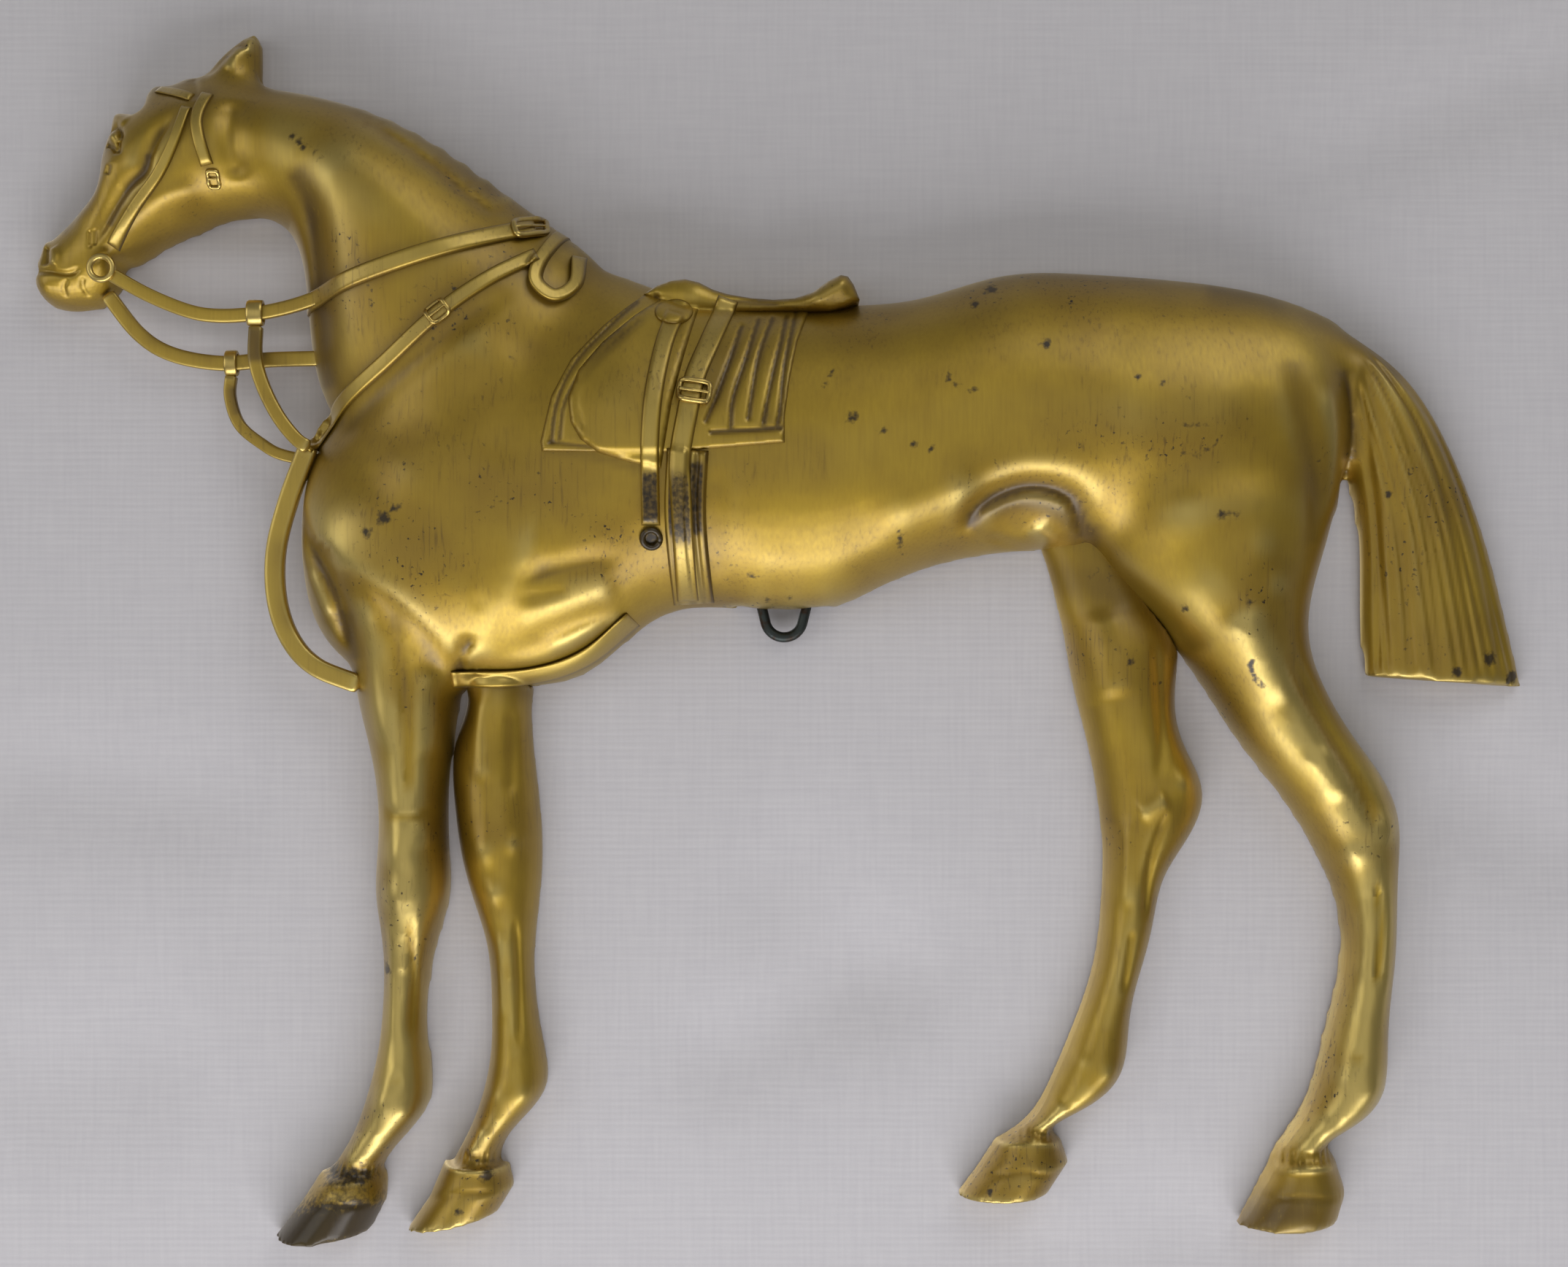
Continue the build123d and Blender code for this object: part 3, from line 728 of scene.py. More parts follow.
# Tack lines, (X, Z). The casting gets painted shade in wax brown beside them and the straps follow them.
LEATHER = [(-14.7, 133.2), (-16.2, 128.2), (-17.5, 120.7), (-18, 113.2), (-18, 103)]
SURCINGLE = [(-7.4, 135.6), (-9.8, 129), (-11.8, 123.7), (-12.8, 118.8), (-13.9, 112), (-13.7, 105.7),
    (-13.2, 92.6)]
GIRTH = [(-12.8, 113.4), (-13.2, 104), (-12.4, 92.2)]
NECK_STRAP = [(-67.8, 114.4), (-63.6, 119.8), (-55.4, 126), (-48, 132.4), (-41, 137.6), (-34.4, 141.6)]
BIGHT = [(-31.4, 145.6), (-34, 140.4), (-34.2, 137.4), (-31.6, 135.6), (-29, 137.6), (-28.8, 142)]
BELLY = [(-46.8, 81.4), (-36, 81.8), (-28, 84.4), (-21, 90)]
NEAR_REIN_LAID = [(-68.4, 134.8), (-61.5, 137.2), (-53.4, 139.9), (-41, 144), (-35, 146)]
CHEEK = [(-95, 143), (-91.4, 148), (-87.6, 152.6), (-85.2, 157.4), (-83.8, 162.4)]
THROATLASH = [(-81.2, 164.6), (-82.1, 161), (-81.9, 158.4), (-80.8, 154)]
BROWBAND = [(-89.4, 166.2), (-86.4, 165.2), (-83.4, 164)]


def coronet_hair(start: Sequence[float], end: Sequence[float], rise: float, drop: float,
                 depth: float) -> list[Stroke]:
    """Combs hair down over a coronet.

    Args:
        start: one end of the coronet.
        end: its other end.
        rise: how far above the coronet each hair starts.
        drop: how far below it each hair ends.
        depth: depth of the strokes.

    Returns:
        The strokes.
    """
    spots = [np.array(start) * (1 - s) + np.array(end) * s for s in np.linspace(0.08, 0.92, 9)]
    return [Stroke([(x + 0.3, z + rise), (x - 0.1, z - drop)], 0.28, depth, taper=0.3) for x, z in spots]


@dataclass
class HorseCasting:
    """Head, neck, barrel, near legs and tail, which show no joint on the front."""

    workshop: Workshop
    voxel: float = 0.82
    nodes: tuple[str, ...] = ("barrel", "neck", "head", "near_foreleg", "near_hind_leg", "tail")
    tail_inner: tuple = ((82, 124), (82.6, 119), (83.2, 112), (84.2, 104), (84.8, 92), (85.2, 80.6))
    tail_outer: tuple = ((84, 131), (88, 127), (94.6, 118.6), (100.4, 106), (104.4, 92), (107.2, 80.6))
    fine: tuple[tuple[float, float, float, float], ...] = (
        (-110, 132, -73, 178), (-108, 134, -93, 164), (-76, -1, -52, 13), (64, 0, 84, 14),
        (80.5, 79, 109, 130),
    )

    def tail_hair(self) -> list[Stroke]:
        """Long strands combed down the tail."""
        strands, inner, outer = [], np.array(self.tail_inner), np.array(self.tail_outer)
        for i, share in enumerate(np.linspace(0.07, 0.94, 17)):
            line = inner * (1 - share) + outer * share
            line[1:, 0] += 0.35 * np.sin(1.7 * i + np.arange(len(line) - 1))
            depth = -0.24 - 0.16 * math.sin(2.1 * i + 0.5)
            strands.append(Stroke(line.tolist(), 0.42, depth, taper=0.08))
        # the hollow under the dock
        strands.append(Stroke([(79.8, 127.6), (81.6, 120.6), (82.5, 113)], 0.9, -0.9, 1.2, 0.4))
        return strands

    def head(self) -> list[Stroke]:
        """Eye, nostril, mouth, cheek and ear."""
        return strokes([
            ([(-97, 160.8), (-94.8, 161.6), (-92.8, 160.4)], 0.9, 0.55),  # brow
            ([(-94.8, 158.6)], 1.0, 1.1),  # eyeball
            ([(-96.3, 158.6), (-95, 160.1), (-93.7, 159.4), (-93.2, 157.4)], 0.4, -0.9),
            ([(-96, 157.6), (-94.7, 156.9), (-93.6, 155.8)], 0.4, -0.8),
            ([(-93.6, 157.8), (-93.4, 155.6)], 0.35, -0.8),
            ([(-94.8, 154.4), (-95.2, 152.8)], 0.45, -0.45),
            ([(-98.2, 142.4), (-96.4, 145.4), (-94.2, 148.6), (-91.8, 151.4), (-89.6, 153.2), (-88.8, 155.6),
                    (-87.4, 158.6), (-84.8, 162.4)], 0.7, -1.0, 1.5),
            ([(-85.5, 150.8), (-83.4, 156.2)], 3.8, 0.4),  # cheek
            ([(-95.2, 143), (-91, 146.6), (-86.4, 149.6), (-81, 151)], 1.5, 0.5),  # jaw bar
            ([(-101.5, 146), (-97.5, 151), (-93, 156)], 1.3, 0.4),  # facial crest
            ([(-99.5, 150.5), (-97.6, 155.5)], 0.9, -0.25),
            ([(-105.3, 143.6), (-105.1, 141.8), (-104.9, 140.4)], 0.5, -1.0),  # nostril
            ([(-104.2, 143.4), (-103.5, 141.8), (-103.9, 140.4)], 0.7, 0.6),
            ([(-107.2, 139.9), (-104.2, 139.7), (-101.5, 139.3), (-99.4, 140.2)], 0.45, -0.6),  # mouth
            ([(-105.6, 137.4)], 1.4, 0.35),
            ([(-101.6, 138.8), (-102.4, 137.4), (-102.2, 136)], 0.35, -0.3),
            ([(-99.4, 139), (-99.8, 137.6), (-99.2, 136.2)], 0.35, -0.3),
            ([(-98.2, 145.6), (-98.1, 142.6)], 0.3, -0.4),
            ([(-97.4, 145.8), (-97.5, 143)], 0.3, -0.35),
            ([(-83.2, 167.6), (-80.6, 170.4), (-77, 174)], 0.8, -0.6),  # ear
            ([(-76.7, 174.2), (-76.5, 171.4)], 0.5, 0.5),
            ([(-79.4, 168.6), (-77.6, 172.8)], 1.2, 0.5),
            ([(-83.4, 163.4), (-86.2, 164.6), (-89.6, 166.2)], 0.4, -0.35),
            ([(-84.8, 168), (-83.6, 166), (-82.6, 163.2)], 0.6, -0.5),
            ([(-77.2, 164), (-77.4, 157), (-76.6, 151.6)], 1.7, -0.8),  # behind the jaw
        ])

    def fore_quarters(self) -> list[Stroke]:
        """Neck, shoulder, breast, elbow and near foreleg."""
        return strokes([
            ([(-70.4, 154), (-67, 149.4), (-65.4, 141), (-65.2, 132), (-64, 122.4)], 1.6, -1.2, 2.6, 0.3),
            ([(-70.4, 149), (-67.7, 140), (-67.2, 131), (-66, 122)], 1.0, 0.35),
            ([(-66, 158), (-52, 147), (-42, 137)], 6.5, 0.6),
            ([(-59, 161.2), (-51.2, 156), (-45, 151), (-39.4, 146.2)], 0.9, -0.55, 0.5),  # foot of the mane
            ([(-66, 112.6), (-55, 122.6), (-44, 131.6), (-36, 137)], 1.6, -0.5),
            ([(-38, 131), (-47, 118), (-57, 108)], 6, 0.6),  # shoulder blade
            ([(-31, 131), (-35, 121), (-40, 110)], 4.4, -0.35),
            ([(-62, 104)], 6, 0.7),
            ([(-61, 98.6), (-54, 94.4), (-49.4, 90.4), (-45.4, 85.2)], 1.9, 1.15, 8.5, 0),  # triceps
            ([(-33.6, 109), (-36, 98.6), (-39.8, 91.6), (-44.6, 85.4)], 8.0, 0.7, 2.2, 0.35),
            ([(-42.8, 98.6), (-43, 95), (-42, 90.8)], 0.5, -0.25),
            ([(-43, 88), (-45.2, 84.6), (-45.8, 80)], 0.9, -1.1),
            ([(-69.6, 108), (-67, 101.6), (-63.4, 95), (-61.8, 89), (-61.6, 84)], 1.3, -1.2),
            ([(-67.2, 97.4), (-64.2, 90)], 1.4, 0.55),
            ([(-58.4, 96), (-57.6, 84), (-56.4, 70)], 1.9, 0.6),
            ([(-54.8, 92), (-53, 80), (-52.6, 62)], 0.9, -0.55),
            ([(-49.6, 84), (-49.4, 70)], 1.6, 0.5),
            ([(-54.6, 57)], 2.6, 0.6), ([(-50.6, 59)], 1.3, 0.5), ([(-55, 51)], 2.0, 0.4),  # knee
            ([(-57, 62.6), (-52.6, 61.8), (-49, 63)], 0.7, -0.4),
            ([(-52.9, 49), (-52.6, 40), (-53, 29)], 0.55, -0.6),
            ([(-55.6, 48), (-55.4, 38), (-55.6, 29)], 1.1, 0.3),
            ([(-57, 21.6)], 1.8, 0.5), ([(-53.2, 19.4)], 1.4, 0.45), ([(-54.8, 24)], 0.8, -0.3),
            ([(-60.4, 17), (-62.6, 12.4)], 1.3, 0.35),
            ([(-66.6, 9.4), (-62, 9.6), (-57.4, 9.2)], 0.6, 0.5),  # coronet
            ([(-69, 5.6), (-63.6, 6.6), (-58, 6.2)], 0.4, -0.25),
        ])

    def barrel(self) -> list[Stroke]:
        """Ribs, belly folds and flank."""
        return strokes([
            ([(-38, 94), (-34, 96), (-28, 97.6), (-21, 99)], 1.2, -0.5, 1.8, 0.35),
            ([(-38.6, 89.6), (-31, 92.2), (-22, 94.4)], 2.6, 0.55),
            ([(-42.6, 84.6), (-35, 86.2), (-27, 90), (-20.4, 92)], 1.2, -0.5, 2.0, 0.3),
            ([(-36.6, 92.8), (-29, 94.4)], 0.8, -0.25, None, 0.3),
            ([(-45, 83.6), (-37, 82.6), (-30, 84.6), (-22.6, 89.4)], 0.8, -0.6, 1.2, 0.1),
            ([(-34, 86), (-26, 88.8), (-21, 91.4)], 1.4, 0.4),
            ([(-8.6, 112), (-9, 104), (-8.6, 94)], 1.4, -0.35),
            ([(-6, 98), (6, 97.4), (18, 101.4)], 2.6, 0.35),
            ([(18, 104), (24.4, 107)], 4.4, 1.0),  # flank
            ([(25.4, 101.4), (28.2, 106), (34.3, 108.6), (40.5, 107.4), (43.2, 102.8), (46.2, 97.6),
                    (51.9, 92.2), (60, 84.6)], 1.0, -1.35, 1.6, 0.08),
            ([(27, 109), (34, 112), (42, 110.8), (46.6, 104.6)], 2.6, 0.2),
            ([(33, 103.6)], 2.6, -0.7),
            ([(35.6, 103.4), (39.2, 100.4)], 1.4, 1.2),
            ([(41.6, 98.6), (45, 96), (48.4, 95.2)], 1.2, 1.1),
            ([(29, 102), (34, 100.4), (38, 98)], 0.6, -0.5),
            ([(43.6, 101.4), (44.4, 98)], 0.8, -0.6),
        ])

    def hind_quarters(self) -> list[Stroke]:
        """Croup, thigh, gaskin, hock and near hind leg."""
        return strokes([
            ([(70.4, 129), (73.4, 118), (75.6, 107), (75.2, 95)], 1.5, -0.6, 2.3, 0.35),
            ([(76.6, 124), (79, 114), (78.4, 102)], 1.6, 0.5),
            ([(67.5, 100.5)], 3.4, 0.6), ([(70, 95)], 2.2, 0.4),
            ([(56, 104), (59, 96)], 4.4, 0.5), ([(50, 118), (60, 120)], 7, 0.5),
            ([(38, 133), (46, 130)], 6, -0.35),
            ([(63.6, 92), (68, 84), (72, 78)], 2.6, 0.7),
            ([(70.4, 86), (76, 76.6), (82, 66.4), (85, 59)], 0.9, -0.9, 1.5),
            ([(77, 84), (82.4, 74), (87.4, 65)], 1.2, 0.6),  # hamstring tendon
            ([(75.6, 72), (79, 64)], 1.8, 0.5),
            ([(86.6, 60.4)], 2.2, 0.7), ([(81.4, 56.6)], 1.6, 0.5),  # hock
            ([(84.6, 54), (85.4, 46), (85, 36)], 0.6, -0.65),
            ([(83, 50), (83, 38)], 0.9, 0.3),
            ([(84.4, 23)], 2.0, 0.55), ([(80.4, 24.6)], 1.4, 0.4), ([(82.2, 27.4)], 0.8, -0.3),
            ([(78.6, 19), (75, 13.6)], 1.4, 0.4),
            ([(70, 10.6), (75, 11.6), (80.6, 11.4)], 0.6, 0.5),
            ([(68.6, 6.8), (74, 7.6), (80.4, 7)], 0.4, -0.25),
        ])

    def mane(self) -> list[Stroke]:
        """Short hair along the lower crest, and at the coronets."""
        tufts = []
        crest = smooth_line([(-60, 163), (-53.4, 158.8), (-46.6, 154.2), (-40, 148.6)], 1.9)
        for i, (x, z) in enumerate(crest):
            reach = 2.1 + 0.9 * math.sin(2.3 * i)
            hair = [(x - 0.6, z + 0.6), (x + 0.6 - 0.3 * reach, z - reach)]
            tufts.append(Stroke(hair, 0.5, -0.28, taper=0.35))
        tufts += coronet_hair((-66, 11.4), (-57.4, 11), 1, 1.6, -0.35)
        return tufts + coronet_hair((70.6, 13), (80.2, 13.4), 1, 1.6, -0.35)

    def stains(self) -> list[Stroke]:
        """Tarnish that has come through the gilding."""
        dabs = [
            ((10, 117.9), 0.75), ((14, 116.2), 0.5), ((18.7, 114.2), 0.55), ((21, 113.4), 0.4),
            ((27.4, 134.5), 0.6), ((30, 137), 0.8), ((37, 128.4), 0.7), ((61.4, 104.6), 0.7),
            ((63.2, 104.4), 0.5), ((57, 91.6), 0.5), ((65.5, 92.4), 0.55), ((-56.4, 40), 0.8),
            ((49.6, 123.6), 0.4), ((53, 122.4), 0.4), ((-18.2, 101.2), 1.2), ((-1.8, 92.8), 0.45),
            ((1, 93), 0.4), ((-12, 93), 0.5), ((-55, 104), 0.9), ((-57.4, 102), 0.7), ((-53.4, 105.4), 0.6),
            ((87.2, 108), 0.5), ((97, 82.4), 0.8), ((102, 84.4), 1.0), ((106, 82), 0.7),
            ((105.2, 81.3), 0.8), ((66, 84), 0.4),
        ]
        marks = [Stroke([spot], size, 1.1) for spot, size in dabs]
        scratches = [
            ([(-69, 158.5), (-67.4, 156.8), (-66, 155.6)], 0.45, 0.9),
            ([(-65, 155.2), (-64, 154.6)], 0.4, 0.8),
            ([(23.2, 125.5), (23.6, 123), (27.9, 121.5)], 0.3, 0.7), ([(16.3, 103), (17.4, 98.5)], 0.3, 0.8),
            ([(65.6, 84), (67, 81.4), (68.6, 80)], 0.4, 0.7),
            ([(55, 113.6), (58.4, 112.9), (61.6, 115.6)], 0.3, 0.6), ([(55, 116.8), (61, 117.2)], 0.28, 0.5),
            ([(6, 122), (7.6, 125.6)], 0.28, 0.6), ([(-5, 96.4), (-2.8, 95.8)], 0.35, 0.6),
            ([(-38, 126.8), (-33, 124)], 0.3, 0.4),
        ]
        marks += [Stroke(line, width, depth, taper=0.1) for line, width, depth in scratches]
        # the blackened near fore hoof
        marks.append(Stroke([(-72.6, 0.6), (-66, 3.4), (-60, 4)], 3.6, 1.2, taper=0))
        marks.append(Stroke([(-64.4, 10.6), (-59.6, 10.4)], 1.5, 0.7, taper=0))
        return marks

    def wax_and_shade(self) -> list[Stroke]:
        """Painted shade in wax brown beside tack, under the belly, in folds; wax on top line and hooves."""
        # painted shade: beside the straps, under the belly and flank fold, in grooves and between the legs
        beside = [
            (NECK_STRAP, 1.9, 0.5), (NEAR_REIN_LAID, 2.0, 0.45), (BELLY, 2.0, 0.6), (BIGHT, 1.9, 0.5),
            (LEATHER, 2.0, 0.4), (GIRTH, 3.8, 0.35), (CHEEK, 1.1, 0.4), (THROATLASH, 1.2, 0.45),
            (BROWBAND, 1.0, 0.3), ([(-33.2, 113.4), (-26, 112.4), (-19, 110.6)], 0.7, 0.3),
            ([(-76, 168), (-62, 164.4), (-50, 159), (-40, 151)], 2.6, 0.32),  # crest
            ([(12, 136), (30, 140), (56, 139.4), (74, 135)], 2.8, 0.28),  # croup
            ([(67, 3), (71, 5), (75, 5.6)], 3.6, 0.85), ([(-45, 4), (-49, 6)], 2.0, 0.4),  # hooves
            ([(-69, 154), (-66, 147), (-65.4, 134), (-64.4, 122)], 2.0, 0.8),  # windpipe groove
            ([(71.4, 127), (73.6, 119), (75, 110), (75.6, 100)], 1.6, 0.4),
            ([(60, 137.4), (72, 134.4), (82, 131), (90, 124)], 2.8, 0.4),
            ([(80, 126), (81.6, 119), (82.4, 112.6)], 1.2, 0.6),
            ([(44, 104), (47, 98), (52, 93), (60, 85)], 1.2, 0.5),
            ([(-104, 145.6), (-100.4, 150), (-98, 155), (-96.2, 161)], 1.7, 0.6),
            ([(-88.9, 156), (-89.6, 153.4), (-92.6, 149.8), (-95.4, 145.6)], 0.6, 0.8),
            ([(-92, 166), (-84, 168)], 1.4, 0.35), ([(-66, 99), (-64.6, 88)], 2.0, 0.35),
            ([(84, 126), (94, 104), (96, 84)], 8, 0.14), ([(-61.6, 92), (-60, 76), (-58, 62)], 1.6, 0.45),
            ([(-60.6, 97), (-60.4, 84)], 1.2, 0.4), ([(-46.6, 80), (-48, 66), (-48, 56)], 0.9, 0.6),
            ([(26.4, 102.4), (30, 105.6), (36, 106.4), (41, 104), (43, 99.6)], 1.5, 0.75),
        ]
        return [Stroke(line, width, depth, taper=0.06) for line, width, depth in beside]

    def build(self) -> None:
        """Casts, chases and finishes the horse."""
        work = skin(self.nodes, self.voxel)
        work.polish(4)
        points = work.points
        spots = points[:, [0, 2]]
        seams = [
            ([(-70, 116), (-64, 112), (-40, 124), (-24, 138)], 5.0), ([(-78, 166), (-77.4, 149)], 4.5),
            ([(-62, 94), (-45, 93)], 5.0), ([(44, 108), (58, 112), (78, 112)], 7.0),
            ([(75, 137), (81, 130), (82, 122)], 3.6), ([(82, 124), (83.4, 113)], 1.8),
            ([(-66, 10), (-57, 10)], 0.8), ([(-62, 82), (-46, 82)], 3.5), ([(-84, 168), (-75, 168)], 1.6),
        ]
        weight = np.clip(sum(Stroke(line, width, 1.0, taper=0).at(spots) for line, width in seams), 0, 1)
        work.relax(weight * ease(BACK - points[:, 1], 1.5, 5.0), 60)
        work.refine(self.fine)
        work.polish(2)
        nudges = [
            Nudge((-90.2, 166.4), 2.0, (-0.9, 1.5)), Nudge((-86.4, 168.2), 2.0, (0, 0.7)),
            Nudge((-92.8, 164), 1.1, (1.2, -1.5)), Nudge((-95.4, 161.9), 1.3, (-0.5, 0.9)),
            Nudge((-106.2, 143.8), 1.1, (-0.3, 0.6)), Nudge((-107.4, 140), 0.7, (0.9, 0)),
            Nudge((-3, 92.6), 3.0, (0, -0.5)), Nudge((2, 92.6), 3.0, (0, -0.6)),
            Nudge((7, 93), 3.0, (0, -0.6)), Nudge((11, 93.6), 2.6, (0, -0.3)),
            Nudge((-99.6, 152.4), 2.4, (0.5, -0.3)), Nudge((-94.4, 140), 1.6, (-0.7, 0.9)),
        ]
        crest = smooth_line([(-60, 164.4), (-53.4, 161.4), (-46.6, 156.8), (-39.4, 150.4)], 2.1)
        nudges += [Nudge((x, z), 0.8, (0.12, 0.22 * (-1) ** i)) for i, (x, z) in enumerate(crest)]
        chasing = self.head() + self.fore_quarters() + self.barrel() + self.hind_quarters() + self.mane()
        work.carve(chasing + self.tail_hair(), nudges)
        work.relax(np.full(len(work.points), 0.5), 1)
        work.wear(self.wax_and_shade(), self.stains())
        self.workshop.place(work, "racehorse_casting", Finish.CASTING, self.nodes)


@dataclass
class OffSide:
    """The two off legs, each a casting of its own behind the near one."""

    workshop: Workshop
    voxel: float = 0.42
    head_top: float = 98.6  # top of the hind leg's head, which runs up behind the belly
    sink_from: float = 84.0
    sink: float = 0.4  # share of its depth that the head loses
    stretch_from: float = 91.0
    stretch: float = 4.5  # how much higher the head is carried

    def foreleg(self) -> list[Stroke]:
        """Forearm, knee, cannon, fetlock and coronet of the off foreleg."""
        return strokes([
            ([(-43.4, 80), (-42.6, 66)], 1.6, 0.5), ([(-38.4, 78), (-38.6, 64)], 0.8, -0.35),
            ([(-42.6, 57)], 2.2, 0.6), ([(-38, 58)], 1.4, 0.45), ([(-41, 51)], 1.6, 0.4),
            ([(-38, 48), (-37.6, 38), (-37.4, 28)], 0.5, -0.5), ([(-40.2, 46), (-40, 32)], 0.9, 0.3),
            ([(-36.2, 21.6)], 1.8, 0.5), ([(-41, 22)], 1.4, 0.35),
            ([(-42.6, 17.6), (-45, 13)], 1.2, 0.35), ([(-49.4, 11), (-44, 11.6), (-39.6, 10.6)], 0.6, 0.45),
            ([(-51, 6.4), (-45.6, 8), (-39.6, 7.8)], 0.4, -0.2),
        ])

    def hind_leg(self) -> list[Stroke]:
        """Gaskin, hock, cannon, fetlock and coronet of the off hind leg."""
        return strokes([
            ([(46, 92), (47.6, 78)], 3.2, 0.6), ([(53.6, 88), (54.4, 74), (54, 66)], 0.9, -0.4),
            ([(58, 66.6)], 2.0, 0.7), ([(51, 62), (55.4, 64.6)], 1.4, 0.5),
            ([(55.4, 63), (53, 56), (52, 46)], 0.6, -0.5), ([(49.4, 62), (49.6, 48)], 1.2, 0.35),
            ([(50.4, 46), (49, 36)], 0.5, -0.4), ([(47.4, 25)], 1.8, 0.5), ([(43, 26.6)], 1.4, 0.35),
            ([(40.6, 21), (37, 16)], 1.3, 0.4), ([(30.4, 14), (36, 15.4), (41, 14)], 0.6, 0.45),
            ([(28.6, 9.6), (34, 11), (39.8, 10)], 0.4, -0.2),
        ])

    def build(self) -> None:
        """Makes the two legs."""
        # the third item of each job is painted shade in wax brown, beside the near leg and under the belly
        jobs = [
            ("off_foreleg", self.foreleg() + coronet_hair((-48.6, 13), (-40, 12.6), 1.2, 1.5, -0.3),
             [([(-48.6, 80), (-47.4, 62), (-46.4, 50)], 1.6, 0.8), ([(-36.6, 80), (-44, 82)], 2, 0.5)],
             [((-42, 10.4), 1.0), ((-46, 5.4), 0.6)]),
            ("off_hind_leg", self.hind_leg() + coronet_hair((31, 16.4), (40.4, 16), 1.2, 1.5, -0.3),
             [([(40, 96), (52, 92), (60, 84)], 3.6, 0.5), ([(45, 78), (47.6, 60)], 1.0, 0.3)],
             [((50, 84), 0.5), ((30, 8), 0.5)]),
        ]
        for name, chasing, wax_and_shade, stains in jobs:
            work = skin((name,), self.voxel)
            work.polish(5)
            points = work.points
            if name == "off_hind_leg":
                sunk = self.sink * ease(points[:, 2], self.sink_from, self.head_top)
                points[:, 1] = BACK - (BACK - points[:, 1]) * (1 - sunk)
                points[:, 2] += self.stretch * ease(points[:, 2], self.stretch_from, self.head_top)
            work.points = points
            work.carve(chasing)
            work.relax(np.full(len(work.points), 0.4), 1)
            work.wear(
                [Stroke(line, width, depth, taper=0.05) for line, width, depth in wax_and_shade],
                [Stroke([spot], size, 1.0) for spot, size in stains],
            )
            self.workshop.place(work, f"{name}_casting", Finish.CASTING, (name,))


# Tack laid on the castings ----------------------------------------------------------------------------------


@dataclass
class LaidStrap:
    """A strap that lies on whatever is under it, with rolled edges."""

    name: str
    line: Line
    width: float
    rise: float
    creases: tuple[tuple[float, float], ...] = ()  # place across from -1 to 1, and depth
    step: float = 0.35
    across: int = 15
    bury: float = 0.9  # how far the hidden side goes in
    stains: tuple[tuple[float, float, float], ...] = ()  # from share along, to share along, darkness

    def build(self, workshop: Workshop) -> None:
        """Lays the strap down."""
        line = smooth_line(self.line, self.step)
        tangent = np.gradient(line, axis=0)
        tangent /= np.linalg.norm(tangent, axis=1)[:, None]
        left = np.column_stack([-tangent[:, 1], tangent[:, 0]])
        spread = np.sin(np.linspace(-1, 1, self.across) * math.pi / 2)
        grid = line[:, None, :] + left[:, None, :] * spread[None, :, None] * self.width / 2
        rows, columns = grid.shape[:2]
        ground = workshop.ground.height(grid.reshape(-1, 2)).reshape(rows, columns)
        ground = settle(ground)
        draped = ground.copy()
        for _ in range(3):
            padded = np.pad(draped, ((1, 1), (0, 0)), mode="edge")
            draped = np.minimum((padded[:-2] + padded[1:-1] + padded[2:]) / 3, draped + 0.02)
        profile = np.sqrt(np.clip(1 - np.abs(spread) ** 7, 0, 1))
        for place, depth in self.creases:
            profile = profile - depth / self.rise * np.exp(-(((spread - place) / 0.1) ** 2))
        along = np.linspace(0, 1, rows)
        ends = quarter_round(np.minimum(along, 1 - along) * rows / 2.5)
        top = np.minimum(draped, ground) - self.rise * profile[None, :] * (0.25 + 0.75 * ends[:, None])
        under = np.minimum(ground + self.bury, BACK - BACK_GAP)
        index = np.arange(rows * columns).reshape(rows, columns)
        faces = np.stack([index[:-1, :-1], index[1:, :-1], index[1:, 1:], index[:-1, 1:]], -1).reshape(-1, 4)
        work = thick_sheet(grid.reshape(-1, 2), faces.tolist(), top.ravel(), under.ravel())
        # painted shade: wax brown along the rolled edges and in the creases of the strap
        edge = np.tile(ease(np.abs(spread), 0.8, 0.97) * 0.85, rows)
        dips = (np.exp(-(((spread - place) / 0.12) ** 2)) * 0.5 for place, _ in self.creases)
        crease_shade = np.tile(sum(dips, np.zeros(columns)), rows)
        stain = np.zeros(rows)
        for start, end, dark in self.stains:
            patch = ease(along, start - 0.03, start + 0.03) * ease(end - along, -0.03, 0.03)
            stain = np.maximum(stain, dark * patch)
        shade = (stain[:, None] * (1 - ease(np.abs(spread), 0.72, 0.86))[None, :]).ravel()
        edge = edge * (1 - 0.7 * np.repeat(stain, columns))
        # the crown of the strap gets a painted highlight mixed with wear
        for label, top_value in (("recess", edge + crease_shade + 0.95 * shade), ("stain", 0.55 * shade),
                                 ("rubbed_and_highlight", np.tile(ease(1 - np.abs(spread), 0.1, 0.6) * 0.5, rows))):
            work.paint(label, np.concatenate([top_value, np.zeros(rows * columns)]))
        workshop.place(work, f"chased_{self.name}", Finish.TACK, (self.name,))


def settle(ground: np.ndarray) -> np.ndarray:
    """Fills in the ground where a strap hangs over the outline, from its own row or from the next one."""
    filled = ground.copy()
    for row in filled:
        known = ~np.isnan(row)
        if known.any():
            places = np.arange(len(row))
            row[~known] = np.interp(places[~known], places[known], row[known])
    for i in range(1, len(filled)):
        if np.isnan(filled[i]).all():
            filled[i] = filled[i - 1]
    for i in range(len(filled) - 2, -1, -1):
        if np.isnan(filled[i]).all():
            filled[i] = filled[i + 1]
    return np.minimum(filled, BACK - 1.2)


